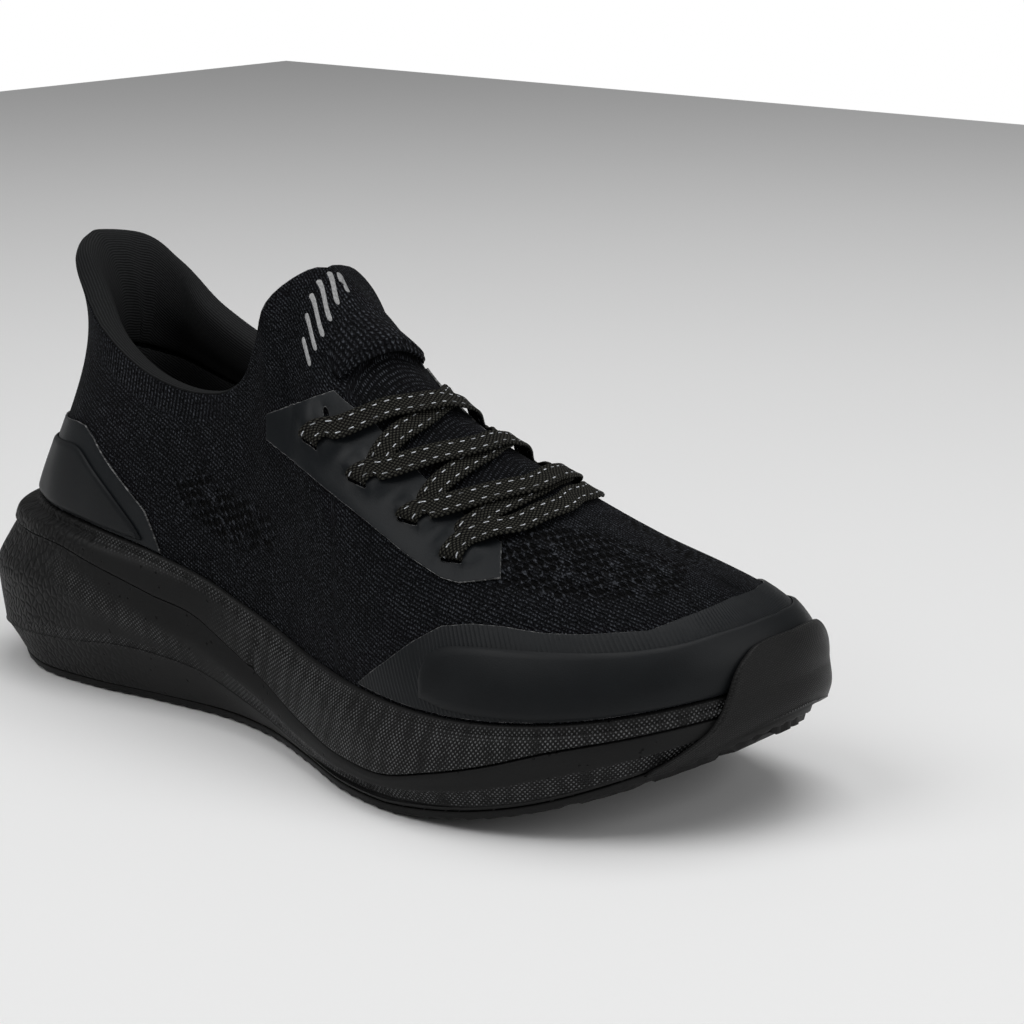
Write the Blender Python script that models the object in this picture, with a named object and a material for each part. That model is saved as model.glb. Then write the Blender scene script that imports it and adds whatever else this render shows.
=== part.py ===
"""A running shoe for the right foot, as an assembly of closed solids.

The shoe is drawn in millimetres on its own axes: x runs from the heel to the toe, y towards the
inner (medial) side and z up from the floor. place() moves a drawn point to the part's own frame.
"""

import bmesh
import bpy
import numpy as np
from mathutils import Vector
from mathutils.geometry import delaunay_2d_cdt

# ---------------------------------------------------------------- driving dimensions, millimetres
MM = 0.001
CENTRE_X = 135.03           # middle of the shoe's length on the drawing axes
CENTRE_Y = -5.22            # middle of its width
GAP = 0.3                   # clearance that touching pieces keep

SIDE_STEPS = 34             # stations along each side, toe to heel
KNIT_ROWS = 10              # rows of the knit from the bite line to the top line
KNIT_THICKNESS = 2.0
KNIT_GAP = 0.55             # clearance between the knit and the lip of the sole
INNER_GAP = 0.5             # clearance of the pieces inside the knit
CUP_DEPTH = 3.0             # how deep the upper sits in the lip of the sole
OUTSOLE_THICKNESS = 3.0
GROOVE_DEPTH = 3.0          # the groove between the two sole foams
GROOVE_LIP = 1.2            # height of the slope into it, above and below
CREASE_INSET = 1.4          # how far the lower foam's crease lies inside the widest outline
BOARD_THICKNESS = 1.2
SOCKLINER_THICKNESS = 4.5
SOCKLINER_INSET = 6.2
# Room round the sockliner's heel half, which rises as it lifts, as (x, room).
SOCKLINER_ROOM = [(-16, 7.5), (14, 7.0), (45, 4.5), (85, 0), (288, 0)]
FILM_THICKNESS = 0.6
GUARD_THICKNESS = 0.8
STIFFENER_THICKNESS = 1.1
LINING_THICKNESS = 1.0
PAD_THICKNESS = 5.0
PAD_THINNING = 0.55         # share of that which the padding loses over the middle of the heel
PAD_THINNING_REACH = 0.09   # in stations
WELT_THICKNESS = 1.3
LACE_WIDTH = 7.6
LACE_THICKNESS = 1.1
SLIT_LENGTH = 9.6
SLIT_WIDTH = 3.4
STRIP_LIFT = 1.5            # how far the strip between two slits stands up over the lace
STRIP_REACH = 7.6           # how far to each side of the lace the strip stands up
LACE_STEP = 2.2             # length of the lace between two sections
SEAM_HEIGHT = 0.6           # height on the skin where the collar's lining is sewn to the lower lining
COLLAR_START = 0.64         # station where the collar's padding starts
TREAD_FIRST_X = 30.0
TREAD_PITCH = 15.0
TREAD_GROOVES = 15
TREAD_WIDTH = 2.4
TREAD_DEPTH = 1.6
TREAD_CUTTER_HALF = 80.0
BUMPER_THICKNESS = 1.6
BUMPER_TOP = 0.34           # the height on the skin that the bumper reaches
BUMPER_REST = 2.5           # how far outside the knit it lies there
BUMPER_FOOT_Z = 0.6         # how high over the outsole's underside it starts
SOLE_SHARE = 0.55           # the part of the bumper's height that stands before the sole
CAP_COLUMNS = 4             # strips across the closing faces of a sole solid
STATION_LENGTH = 330.0      # about a side's length, for even triangles
HEIGHT_LENGTH = 75.0        # about the height of the skin
NORMAL_STATIONS = 200
NORMAL_ROWS = 40

# ---------------------------------------------------------------- outlines, millimetres
# The widest line of the sole from above: heel, outer side, toe, inner side.
SOLE_OUTLINE = [
    (-16, -1), (-13, -20), (-3, -36.5), (17, -45.5), (45, -47.5), (75, -44), (103, -41),
    (125, -43), (148, -50), (172, -58.5), (196, -62.5), (216, -61), (238, -54), (257, -42),
    (271, -26), (280, -7), (284, 12), (281, 28), (271, 41), (253, 49), (232, 52), (206, 50),
    (178, 44), (148, 36), (118, 33), (88, 35), (60, 40), (35, 42.5), (13, 39), (-6, 27), (-14, 14),
]

# Heights of the sole's lines, as (x, z).
BITE_Z = [
    (-16, 58), (0, 57.5), (14, 57), (44, 55), (77, 50), (97, 45.5), (110, 41.5), (122, 38),
    (140, 33.5), (156, 31.5), (174, 30.8), (198, 30.5), (224, 32), (242, 34), (258, 36.5),
    (270, 39), (288, 43),
]
GROOVE_Z = [
    (-16, 48.5), (9, 48), (38, 47.5), (56, 43.5), (77, 38), (94, 34), (104, 29), (121, 22),
    (138, 16.5), (159, 13), (174, 12), (193, 12.3), (206, 15.5), (227, 21.5), (243, 27),
    (263, 32), (288, 38),
]
CREASE_Z = [
    (-16, 14), (0, 14.5), (25, 16), (45, 17.5), (60, 19), (80, 18.5), (95, 16.5), (110, 12.5),
    (125, 9), (140, 6.5), (170, 5), (205, 6.5), (224, 9), (256, 18.5), (288, 33),
]
BOTTOM_Z = [
    (-16, 13), (-6, 7), (3, 2.2), (14, 0.3), (24, 0), (26, 0), (188, 0),
    (190, 0), (204, 1.2), (224, 4.2),
    (240, 8.2), (256, 14), (272, 21), (288, 29),
]
# How far each line lies inside the widest outline, as (x, inset).
BITE_INSET = [
    (-16, 17), (-4, 16), (10, 13.5), (25, 11), (45, 9), (75, 6.5), (110, 4.5), (140, 6),
    (174, 8), (198, 8), (224, 5.5), (245, 4), (270, 3.2), (288, 3.5),
]
GROOVE_INSET = [(-16, 7), (5, 6), (25, 4), (45, 2.5), (100, 1.5), (150, 0.5), (288, 0.5)]
BOTTOM_INSET = [
    (-16, 11), (0, 8), (29, 7.5), (45, 8), (75, 8.5), (107, 7), (140, 4), (177, 2), (200, 2.5),
    (224, 3), (256, 3), (288, 4),
]

# The upper, station by station from the toe (0) to the heel (1) along the bite line:
# top point, lower handle (out, up), upper handle (out, forward, up). Up to the top of the tongue
# the top point is on the ridge and both sides share it; after it, it is on the collar's rim.
TONGUE_TOP = 0.525
OUTER_SIDE = [
    (0.00, (261, 9.0, 64.5), (3, 13), (9, 0, -1.0)),
    (0.06, (256, 8.5, 66.5), (3, 14), (12, 0, -1.0)),
    (0.13, (242, 7.0, 70.5), (3, 18), (17, 2, -1.0)),
    (0.20, (222, 4.0, 77.0), (2, 21), (21, 3, -1.5)),
    (0.27, (203, 2.0, 85.5), (1, 23), (23, 4, -1.5)),
    (0.33, (184, 1.0, 93.0), (0, 25), (23, 4, -2.0)),
    (0.39, (165, 0.0, 101.0), (0, 30), (24, 5, -1.5)),
    (0.435, (150, 0.0, 109.5), (0, 36), (26, 6, -1.0)),
    (0.47, (137, 0.0, 120.0), (0, 40), (28, 7, -3.0)),
    (0.50, (125, 0.0, 132.0), (0, 44), (28, 8, -5.0)),
    (0.525, (117, 0.0, 140.0), (0, 44), (26, 9, -8.0)),
    (0.55, (114, -13.0, 138.5), (0, 42), (16, 10, -13.0)),
    (0.575, (110.5, -22.5, 131.0), (0, 38), (9, 11, -17.0)),
    (0.60, (110.5, -26.5, 120.5), (0, 32), (6, 11, -17.0)),
    (0.63, (108, -29.5, 109.5), (0, 26), (4, 9, -17.0)),
    (0.655, (102, -30.5, 104.5), (0, 24), (4, 5, -18.0)),
    (0.69, (90, -30.5, 102.0), (0, 22), (4, 0, -18.0)),
    (0.75, (68, -30.5, 104.5), (0, 22), (4, 0, -18.0)),
    (0.82, (43, -26.0, 113.5), (0, 20), (2, 0, -19.0)),
    (0.89, (26, -19.0, 123.5), (-3, 20), (-5, 0, -22.0)),
    (0.95, (13, -11.0, 133.5), (-9, 21), (-16, 0, -25.0)),
    (1.00, (4.5, 3.0, 136.5), (-11.6, 22), (-23, 0, -26.0)),
]
# The rim's points on the inner side, where they aren't the ridge's.
INNER_RIM = {
    0.55: (113, 14, 138), 0.575: (109.5, 24, 130.5), 0.60: (109, 28, 119), 0.63: (105, 30.5, 109.5),
    0.655: (98, 32, 104.5), 0.69: (86, 33, 102), 0.75: (64, 33, 103.5), 0.82: (40, 30.5, 114),
    0.89: (24, 27, 126.5), 0.95: (12, 17.5, 135), 1.0: (4.5, 3, 136.5),
}

# Outlines on the upper, in skin coordinates: station from the toe, height from the bite line.
TOE_FILM_TOP = [
    (0.424, 0.012), (0.385, 0.122), (0.354, 0.22), (0.326, 0.297), (0.297, 0.333), (0.269, 0.35),
    (0.233, 0.355), (0.199, 0.372), (0.173, 0.395), (0.149, 0.415), (0.111, 0.53), (0.06, 0.695),
    (0.0, 0.80),
]
TOE_GUARD_TOP = [
    (0.340, 0.02), (0.344, 0.133), (0.335, 0.205), (0.315, 0.247), (0.283, 0.27), (0.247, 0.28),
    (0.205, 0.29), (0.158, 0.307), (0.121, 0.34), (0.077, 0.427), (0.0, 0.525),
]
HEEL_FILM_TOP = [
    (0.713, 0.012), (0.723, 0.107), (0.734, 0.198), (0.771, 0.33), (0.811, 0.463), (0.83, 0.49),
    (0.849, 0.475), (0.90, 0.40), (0.95, 0.36), (1.0, 0.35),
]
HEEL_GUARD_TOP = [
    (0.733, 0.02), (0.74, 0.072), (0.755, 0.138), (0.787, 0.263), (0.825, 0.37), (0.845, 0.37),
    (0.90, 0.30), (0.95, 0.26), (1.0, 0.25),
]
EYESTAY = [
    (0.5714, 0.576), (0.5716, 0.500), (0.5583, 0.4575), (0.5445, 0.4266), (0.5293, 0.406),
    (0.5135, 0.404), (0.4895, 0.4163), (0.4661, 0.4343), (0.4442, 0.4414), (0.424, 0.4446),
    (0.396, 0.446), (0.363, 0.438), (0.3355, 0.429), (0.318, 0.438), (0.299, 0.469), (0.2826, 0.499),
    (0.291, 0.613), (0.335, 0.647), (0.385, 0.693), (0.434, 0.723), (0.4564, 0.709), (0.4763, 0.6925),
    (0.4855, 0.6442), (0.4965, 0.598), (0.5029, 0.5766), (0.5109, 0.5541), (0.5211, 0.5335),
    (0.5335, 0.5277), (0.5437, 0.5341), (0.5527, 0.5425), (0.5619, 0.5567),
]
# The lace slits of either eyestay, from the ankle to the toe: it goes down through an outer slit,
# passes under a strip of the film and comes up through the inner slit. The last pair of the lace
# has no inner slit, because its end stays under the strip.
OUTER_SLITS = [(0.4955, 0.4925), (0.4375, 0.5245), (0.3795, 0.532), (0.3295, 0.4935)]
INNER_SLITS = [(0.474, 0.595), (0.4205, 0.612), (0.364, 0.61), (0.321, 0.58)]
# The lace's strands, as (station, height over the ridge, rise): from a slit on the outer side over
# the tongue to the next slit down on the inner side. The strands to the inner side mirror them.
STRANDS = [
    [(0.464, -0.393, 1.00), (0.442, -0.292, 1.00), (0.428, -0.201, 1.00), (0.416, -0.125, 1.00),
     (0.408, -0.056, 1.00), (0.404, 0.0, 1.00), (0.401, 0.067, 1.00), (0.403, 0.15, 1.00),
     (0.411, 0.24, 0.80), (0.4175, 0.315, 0.05)],
    [(0.414, -0.393, 1.00), (0.392, -0.311, 1.00), (0.371, -0.220, 1.00), (0.354, -0.143, 1.00),
     (0.343, -0.070, 1.00), (0.338, 0.0, 1.00), (0.338, 0.08, 1.00), (0.344, 0.16, 1.00),
     (0.352, 0.24, 0.80), (0.3605, 0.315, 0.05)],
    [(0.358, -0.400, 1.00), (0.335, -0.330, 1.00), (0.315, -0.257, 1.00), (0.299, -0.192, 1.00),
     (0.286, -0.129, 1.00), (0.279, -0.06, 1.00), (0.276, 0.0, 1.00), (0.279, 0.07, 1.00),
     (0.286, 0.15, 1.00), (0.296, 0.23, 1.00), (0.308, 0.30, 0.75), (0.3165, 0.36, 0.05)],
]
BAR = [(0.304, -0.376), (0.284, -0.306), (0.267, -0.210), (0.252, -0.109), (0.246, 0.0)]
EYELET = (0.479, 0.61)
EYELET_DIAMETER = 3.0
SLOT_LINE = [
    (0.476, -0.25), (0.468, -0.12), (0.4645, 0.0), (0.465, 0.09), (0.467, 0.19), (0.477, 0.27),
]
WELT_HEIGHT = 0.026         # along the ridge, in stations
TONGUE_LINING = [
    (0.24, -0.22), (0.34, -0.34), (0.45, -0.34), (0.505, -0.22), (0.505, 0.22), (0.45, 0.34),
    (0.34, 0.34), (0.24, 0.22),
]
# The bumper's upper edge and its foot, as (station from the toe, height on the toe's wall).
BUMPER_EDGE = [
    (0.138, 0.045), (0.136, 0.085), (0.118, 0.135), (0.101, 0.217), (0.088, 0.303), (0.0785, 0.43),
    (0.0745, 0.55), (0.070, 0.72), (0.064, 0.82), (0.052, 0.92), (0.035, 0.964), (0.0145, 0.985),
    (0.0, 0.99),
]
BUMPER_FOOT = [(0.0, 0.24), (0.030, 0.20), (0.060, 0.14), (0.090, 0.065), (0.120, 0.03)]

SIGN = {"lateral": -1, "medial": 1}


# ---------------------------------------------------------------- curves
def smooth(table, at):
    """The value at `at` of a smooth curve through a table of (key, value or point) rows."""
    keys = np.array([row[0] for row in table], float)
    values = np.array([row[1] for row in table], float)
    flat = values.ndim == 1
    values = values[:, None] if flat else values
    at = np.clip(np.asarray(at, float), keys[0], keys[-1])
    gaps = np.diff(keys)
    chords = np.diff(values, axis=0) / gaps[:, None]
    slopes = np.empty_like(values)
    slopes[0] = chords[0]
    slopes[-1] = chords[-1]
    weighted = chords[:-1] * gaps[1:, None] + chords[1:] * gaps[:-1, None]
    slopes[1:-1] = weighted / (gaps[1:] + gaps[:-1])[:, None]
    i = np.clip(np.searchsorted(keys, at, side="right") - 1, 0, len(keys) - 2)
    gap = gaps[i][..., None]
    t = (at - keys[i])[..., None] / gap
    start = (2 * t**3 - 3 * t**2 + 1) * values[i] + (t**3 - 2 * t**2 + t) * gap * slopes[i]
    end = (3 * t**2 - 2 * t**3) * values[i + 1] + (t**3 - t**2) * gap * slopes[i + 1]
    return (start + end)[..., 0] if flat else start + end


def unit(vectors):
    return vectors / np.maximum(np.linalg.norm(vectors, axis=-1, keepdims=True), 1e-9)


def outline_loop(count=2000):
    """The sole's outline as many points, with their outward normals."""
    points = np.array(SOLE_OUTLINE, float)
    wrapped = np.vstack([points[-3:], points, points[:4]])
    lengths = np.linalg.norm(np.diff(wrapped, axis=0), axis=1)
    keys = np.concatenate([[0], np.cumsum(lengths)])
    at = np.linspace(keys[3], keys[3 + len(points)], count, endpoint=False)
    loop = smooth(list(zip(keys, wrapped)), at)
    along = np.roll(loop, -1, axis=0) - np.roll(loop, 1, axis=0)
    return loop, unit(np.column_stack([along[:, 1], -along[:, 0]]))


LOOP, LOOP_NORMALS = outline_loop()
TOE_INDEX = int(np.argmax(LOOP[:, 0]))
HEEL_INDEX = int(np.argmin(LOOP[:, 0]))


def side_of_loop(sign):
    """Outline points and normals of one side, from the toe to the heel."""
    count = len(LOOP)
    if sign < 0:
        steps = (TOE_INDEX - HEEL_INDEX) % count
        index = (TOE_INDEX - np.arange(steps + 1)) % count
    else:
        steps = (HEEL_INDEX - TOE_INDEX) % count
        index = (TOE_INDEX + np.arange(steps + 1)) % count
    return LOOP[index], LOOP_NORMALS[index]


def bite_line(sign):
    """(fraction of the length from the toe, points, normals) where one side's knit starts."""
    points, normals = side_of_loop(sign)
    x = points[:, 0]
    base = points - normals * (smooth(BITE_INSET, x) + KNIT_GAP)[:, None]
    lengths = np.linalg.norm(np.diff(base, axis=0), axis=1)
    fraction = np.concatenate([[0], np.cumsum(lengths)])
    fraction /= fraction[-1]
    return fraction, np.column_stack([base, smooth(BITE_Z, x)]), normals


BITE = {sign: bite_line(sign) for sign in (-1, 1)}
STATIONS = np.sort(np.append(np.linspace(0, 1, SIDE_STEPS + 1), TONGUE_TOP))


# ---------------------------------------------------------------- the skin of the upper
def rim_point(row, sign):
    return row[1] if sign < 0 else INNER_RIM.get(row[0], row[1])


def top_row(sign):
    """The top line of a side, with one row beyond the heel that makes it round there."""
    last = OUTER_SIDE[-2]
    return [(row[0], rim_point(row, sign)) for row in OUTER_SIDE] + [(2 - last[0], rim_point(last, -sign))]


def handles(column):
    last = OUTER_SIDE[-2]
    return [(row[0], row[column]) for row in OUTER_SIDE] + [(2 - last[0], last[column])]


def skin(s, v, sign):
    """A point on the outside of the knit: s from toe to heel, v from bite line to top line."""
    fraction, base_points, base_normals = BITE[sign]
    base = np.stack([np.interp(s, fraction, base_points[:, k]) for k in range(3)], -1)
    out = np.stack([np.interp(s, fraction, base_normals[:, k]) for k in range(2)], -1)
    out = unit(np.concatenate([out, np.zeros_like(out[..., :1])], -1))
    up = np.array([0.0, 0.0, 1.0])
    forward = np.array([1.0, 0.0, 0.0])
    top = smooth(top_row(sign), s)
    low = smooth(handles(2), s)
    high = smooth(handles(3), s)
    first = base + out * low[..., 0:1] + up * low[..., 1:2]
    second = top + out * high[..., 0:1] + forward * high[..., 1:2] + up * high[..., 2:3]
    v = np.asarray(v, float)[..., None]
    return (1 - v)**3 * base + 3 * (1 - v)**2 * v * first + 3 * (1 - v) * v**2 * second + v**3 * top


def skin_normals():
    """Outward normals of the skin on a fine grid of each side, smooth over the ridge, toe and heel."""
    s, v = np.meshgrid(np.linspace(0, 1, NORMAL_STATIONS + 1), np.linspace(0, 1, NORMAL_ROWS + 1),
                       indexing="ij")
    shape = s.shape
    own = np.arange(s.size).reshape(shape)
    shared = {-1: own, 1: own + s.size}
    ridge = s[:, -1] <= TONGUE_TOP
    shared[1] = shared[1].copy()
    shared[1][ridge, -1] = own[ridge, -1]
    shared[1][0] = own[0]
    shared[1][-1] = own[-1]
    total = np.zeros((2 * s.size, 3))
    for sign in (-1, 1):
        points = skin(s, v, sign)
        across = points[1:, 1:] - points[:-1, :-1]
        other = points[:-1, 1:] - points[1:, :-1]
        face = np.cross(across, other) * -sign
        for rows in (slice(None, -1), slice(1, None)):
            for columns in (slice(None, -1), slice(1, None)):
                np.add.at(total, shared[sign][rows, columns].ravel(), face.reshape(-1, 3))
    outward = total[shared[-1][100, 10]][1] < 0
    total = total if outward else -total
    return {sign: unit(total[shared[sign]]) for sign in (-1, 1)}


NORMALS = skin_normals()


def skin_normal(s, v, sign):
    grid = NORMALS[sign]
    a = np.clip(s, 0, 1) * NORMAL_STATIONS
    b = np.clip(v, 0, 1) * NORMAL_ROWS
    i = np.clip(a.astype(int), 0, NORMAL_STATIONS - 1)
    j = np.clip(b.astype(int), 0, NORMAL_ROWS - 1)
    a = (a - i)[..., None]
    b = (b - j)[..., None]
    near = grid[i, j] * (1 - a) + grid[i + 1, j] * a
    far = grid[i, j + 1] * (1 - a) + grid[i + 1, j + 1] * a
    return unit(near * (1 - b) + far * b)


def on_side(s, v, sign, offset=0.0):
    """A point `offset` outside the knit, on one side."""
    s = np.asarray(s, float)
    v = np.asarray(v, float)
    offset = np.asarray(offset, float)[..., None]
    return skin(s, v, sign) + skin_normal(s, v, sign) * offset


def around(u, v, offset=0.0):
    """The same, with u running round the toe: negative on the outer side, past 1 beyond the heel."""
    u = np.asarray(u, float)
    u = np.where(u > 1, u - 2, np.where(u < -1, u + 2, u))
    v = np.asarray(v, float)
    outer = on_side(np.abs(u), v, -1, offset)
    inner = on_side(np.abs(u), v, 1, offset)
    return np.where((u < 0)[..., None], outer, inner)


def across(s, w, offset=0.0):
    """The same, over the ridge: w runs from -1 at the outer bite line through 0 to 1."""
    s = np.asarray(s, float)
    w = np.asarray(w, float)
    outer = on_side(s, 1 + np.minimum(w, 0), -1, offset)
    inner = on_side(s, 1 - np.maximum(w, 0), 1, offset)
    return np.where((w < 0)[..., None], outer, inner)


# ---------------------------------------------------------------- solids
def place(points):
    return (np.asarray(points, float) - (CENTRE_X, CENTRE_Y, 0)) * MM


def material(name, colour, roughness, metallic=0.0):
    made = bpy.data.materials.new(name)
    made.use_nodes = True
    shader = made.node_tree.nodes["Principled BSDF"]
    shader.inputs["Base Color"].default_value = (*colour, 1)
    shader.inputs["Roughness"].default_value = roughness
    shader.inputs["Metallic"].default_value = metallic
    return made


def solid(name, points, faces, finish, sharp=35):
    """An object from points and faces, with its faces turned outward."""
    mesh = bpy.data.meshes.new(name)
    mesh.from_pydata([tuple(p) for p in place(points)], [], [tuple(map(int, f)) for f in faces])
    edit = bmesh.new()
    edit.from_mesh(mesh)
    bmesh.ops.triangulate(edit, faces=[f for f in edit.faces if len(f.verts) > 4])
    bmesh.ops.recalc_face_normals(edit, faces=edit.faces)
    if edit.calc_volume(signed=True) < 0:
        bmesh.ops.reverse_faces(edit, faces=edit.faces)
    edit.to_mesh(mesh)
    edit.free()
    mesh.shade_smooth()
    mesh.set_sharp_from_angle(angle=np.radians(sharp))
    obj = bpy.data.objects.new(name, mesh)
    obj.data.materials.append(finish)
    bpy.context.scene.collection.objects.link(obj)
    return obj


def sole_ring(inset, height):
    """A closed ring of sole points, toe, outer side, heel, inner side. Both arguments are functions of x."""
    rings = []
    for sign in (-1, 1):
        points, normals = side_of_loop(sign)
        lengths = np.concatenate([[0], np.cumsum(np.linalg.norm(np.diff(points, axis=0), axis=1))])
        at = np.linspace(0, lengths[-1], SIDE_STEPS + 1)
        xy = np.stack([np.interp(at, lengths, points[:, k]) for k in range(2)], -1)
        n = unit(np.stack([np.interp(at, lengths, normals[:, k]) for k in range(2)], -1))
        xy = xy - n * np.asarray(inset(xy[:, 0]))[:, None]
        rings.append(np.column_stack([xy, height(xy[:, 0])]))
    return np.vstack([rings[0], rings[1][-2:0:-1]])


def cap(ring, first, base, height):
    """Strips from side to side that close a sole ring.

    first is the number of the ring's first point and base that of the first point added here.
    """
    points = []
    rows = [[first] * (CAP_COLUMNS + 1)]
    count = len(ring)
    for i in range(1, SIDE_STEPS):
        outer = ring[i]
        inner = ring[count - i]
        row = [first + i]
        for k in range(1, CAP_COLUMNS):
            point = outer + (inner - outer) * k / CAP_COLUMNS
            point[2] = height(point[0])
            row.append(base + len(points))
            points.append(point)
        row.append(first + count - i)
        rows.append(row)
    rows.append([first + SIDE_STEPS] * (CAP_COLUMNS + 1))
    return points, rows


def sole_solid(name, rings, bottom, top, finish):
    """A solid of stacked sole rings. bottom and top give the height of its closing faces."""
    count = 2 * SIDE_STEPS
    points = [p for ring in rings for p in ring]
    faces = []
    for level in range(len(rings) - 1):
        low = level * count
        for i in range(count):
            j = (i + 1) % count
            faces.append((low + i, low + j, low + count + j, low + count + i))
    last = (len(rings) - 1) * count
    for ring, first, height in ((rings[0], 0, bottom), (rings[-1], last, top)):
        new, rows = cap(ring, first, len(points), height)
        points.extend(new)
        for a, b in zip(rows, rows[1:]):
            for k in range(CAP_COLUMNS):
                corners = tuple(dict.fromkeys((a[k], b[k], b[k + 1], a[k + 1])))
                if len(corners) > 2:
                    faces.append(corners)
    return solid(name, points, faces, finish)


def inside(points, polygon):
    """Which points lie inside a polygon."""
    x, y = points[:, 0], points[:, 1]
    found = np.zeros(len(points), bool)
    for (x1, y1), (x2, y2) in zip(polygon, np.roll(polygon, -1, axis=0)):
        crosses = (y1 > y) != (y2 > y)
        slope = (x2 - x1) / (y2 - y1) if y2 != y1 else 0.0
        found ^= crosses & (x < x1 + (y - y1) * slope)
    return found


def divided(polygon, step):
    """The polygon with its long edges cut into steps."""
    result = []
    for start, end in zip(polygon, np.roll(polygon, -1, axis=0)):
        pieces = max(1, int(np.ceil(np.linalg.norm(end - start) / step)))
        result.extend(start + (end - start) * k / pieces for k in range(pieces))
    return np.array(result)


def filled(outline, holes, step, seeds):
    """Triangles over an outline with holes, in skin coordinates, with points about `step` mm apart.

    seeds are points that the triangles must meet.
    """
    scale = np.array([STATION_LENGTH, HEIGHT_LENGTH])
    loops = [divided(np.array(loop, float) * scale, step) for loop in [outline, *holes]]
    low = loops[0].min(axis=0)
    high = loops[0].max(axis=0)
    grid = np.array([(x, y) for x in np.arange(low[0] + step / 2, high[0], step)
                     for y in np.arange(low[1] + step / 2, high[1], step)])
    edge = np.vstack([*loops, np.array(seeds, float).reshape(-1, 2) * scale])
    keep = inside(grid, loops[0])
    for hole in loops[1:]:
        keep &= ~inside(grid, hole)
    keep &= np.linalg.norm(grid[:, None] - edge[None], axis=2).min(axis=1) > 0.45 * step
    points = np.vstack([edge, grid[keep]])
    edges = []
    first = 0
    for loop in loops:
        edges += [(first + k, first + (k + 1) % len(loop)) for k in range(len(loop))]
        first += len(loop)
    found = delaunay_2d_cdt([Vector(p) for p in points], edges, [], 0, 1e-6)
    points = np.array([tuple(p) for p in found[0]])
    triangles = np.array([tuple(f) for f in found[2]])
    middles = points[triangles].mean(axis=1)
    keep = inside(middles, loops[0])
    for hole in loops[1:]:
        keep &= ~inside(middles, hole)
    triangles = triangles[keep]
    used = np.unique(triangles)
    order = np.full(len(points), -1)
    order[used] = np.arange(len(used))
    return points[used] / scale, order[triangles]


def patch_solid(name, chart, outline, low, high, finish, holes=(), step=6.0, seeds=()):
    """A thin solid between two offsets from a chart of the skin. The offsets may be functions."""
    flat, triangles = filled(outline, holes, step, seeds)
    levels = []
    for offset in (low, high):
        value = offset(flat[:, 0], flat[:, 1]) if callable(offset) else np.full(len(flat), offset)
        levels.append(chart(flat[:, 0], flat[:, 1], value))
    count = len(flat)
    faces = [tuple(t + count) for t in triangles] + [tuple(t[::-1]) for t in triangles]
    edges = {(t[k], t[(k + 1) % 3]) for t in triangles for k in range(3)}
    for a, b in sorted(edges):
        if (b, a) not in edges:
            faces.append((a, b, b + count, a + count))
    return solid(name, np.vstack(levels), faces, finish)


def band_solid(name, sections, finish):
    """A solid through a row of closed sections that all have the same number of points."""
    count = len(sections[0])
    points = np.vstack(sections)
    faces = [tuple(range(count))]
    for level in range(len(sections) - 1):
        low = level * count
        for i in range(count):
            j = (i + 1) % count
            faces.append((low + j, low + i, low + count + i, low + count + j))
    last = (len(sections) - 1) * count
    faces.append(tuple(last + count - 1 - k for k in range(count)))
    return solid(name, points, faces, finish)


def cut(obj, cutter):
    """Cuts the cutter's shape out of the object."""
    cutter.hide_render = True
    cutter.display_type = "WIRE"
    modifier = obj.modifiers.new("cut", "BOOLEAN")
    modifier.operation = "DIFFERENCE"
    modifier.solver = "EXACT"
    modifier.object = cutter


# ---------------------------------------------------------------- the sole
def table(rows, shift=0.0):
    return lambda x: smooth(rows, x) + shift


def level(value):
    return lambda x: np.full_like(x, value)


def between(first, second, share):
    return lambda x: smooth(first, x) * (1 - share) + smooth(second, x) * share


BOX_FACES = [(0, 3, 2, 1), (4, 5, 6, 7), (0, 1, 5, 4), (1, 2, 6, 5), (2, 3, 7, 6), (3, 0, 4, 7)]


def tread_cutter():
    """Bars across the outsole's underside, one for each groove of the tread."""
    points = []
    faces = []
    for k in range(TREAD_GROOVES):
        x = TREAD_FIRST_X + TREAD_PITCH * k
        floor = float(smooth(BOTTOM_Z, x))
        base = len(points)
        for z in (floor - 6, floor + TREAD_DEPTH):
            for dx, dy in ((-1, -1), (1, -1), (1, 1), (-1, 1)):
                points.append((x + dx * TREAD_WIDTH / 2, dy * TREAD_CUTTER_HALF, z))
        for quad in BOX_FACES:
            faces.append(tuple(base + corner for corner in quad))
    return solid("tread_cutter", points, faces, None)


def make_outsole(finish):
    low = sole_ring(table(BOTTOM_INSET), table(BOTTOM_Z))
    high = sole_ring(table(BOTTOM_INSET, -0.4), table(BOTTOM_Z, OUTSOLE_THICKNESS))
    outsole = sole_solid("outsole", [low, high], table(BOTTOM_Z), table(BOTTOM_Z, OUTSOLE_THICKNESS),
                         finish)
    cut(outsole, tread_cutter())


def make_midsole_lower(finish):
    floor = table(BOTTOM_Z, OUTSOLE_THICKNESS + GAP)
    rings = [
        sole_ring(table(BOTTOM_INSET, -0.4), floor),
        sole_ring(level(CREASE_INSET), table(CREASE_Z)),
        sole_ring(level(0.0), between(CREASE_Z, GROOVE_Z, 0.45)),
        sole_ring(table(GROOVE_INSET), table(GROOVE_Z, -GROOVE_LIP)),
        sole_ring(table(GROOVE_INSET, GROOVE_DEPTH), table(GROOVE_Z, -GAP / 2)),
    ]
    sole_solid("midsole_lower", rings, floor, table(GROOVE_Z, -GAP / 2), finish)


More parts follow.
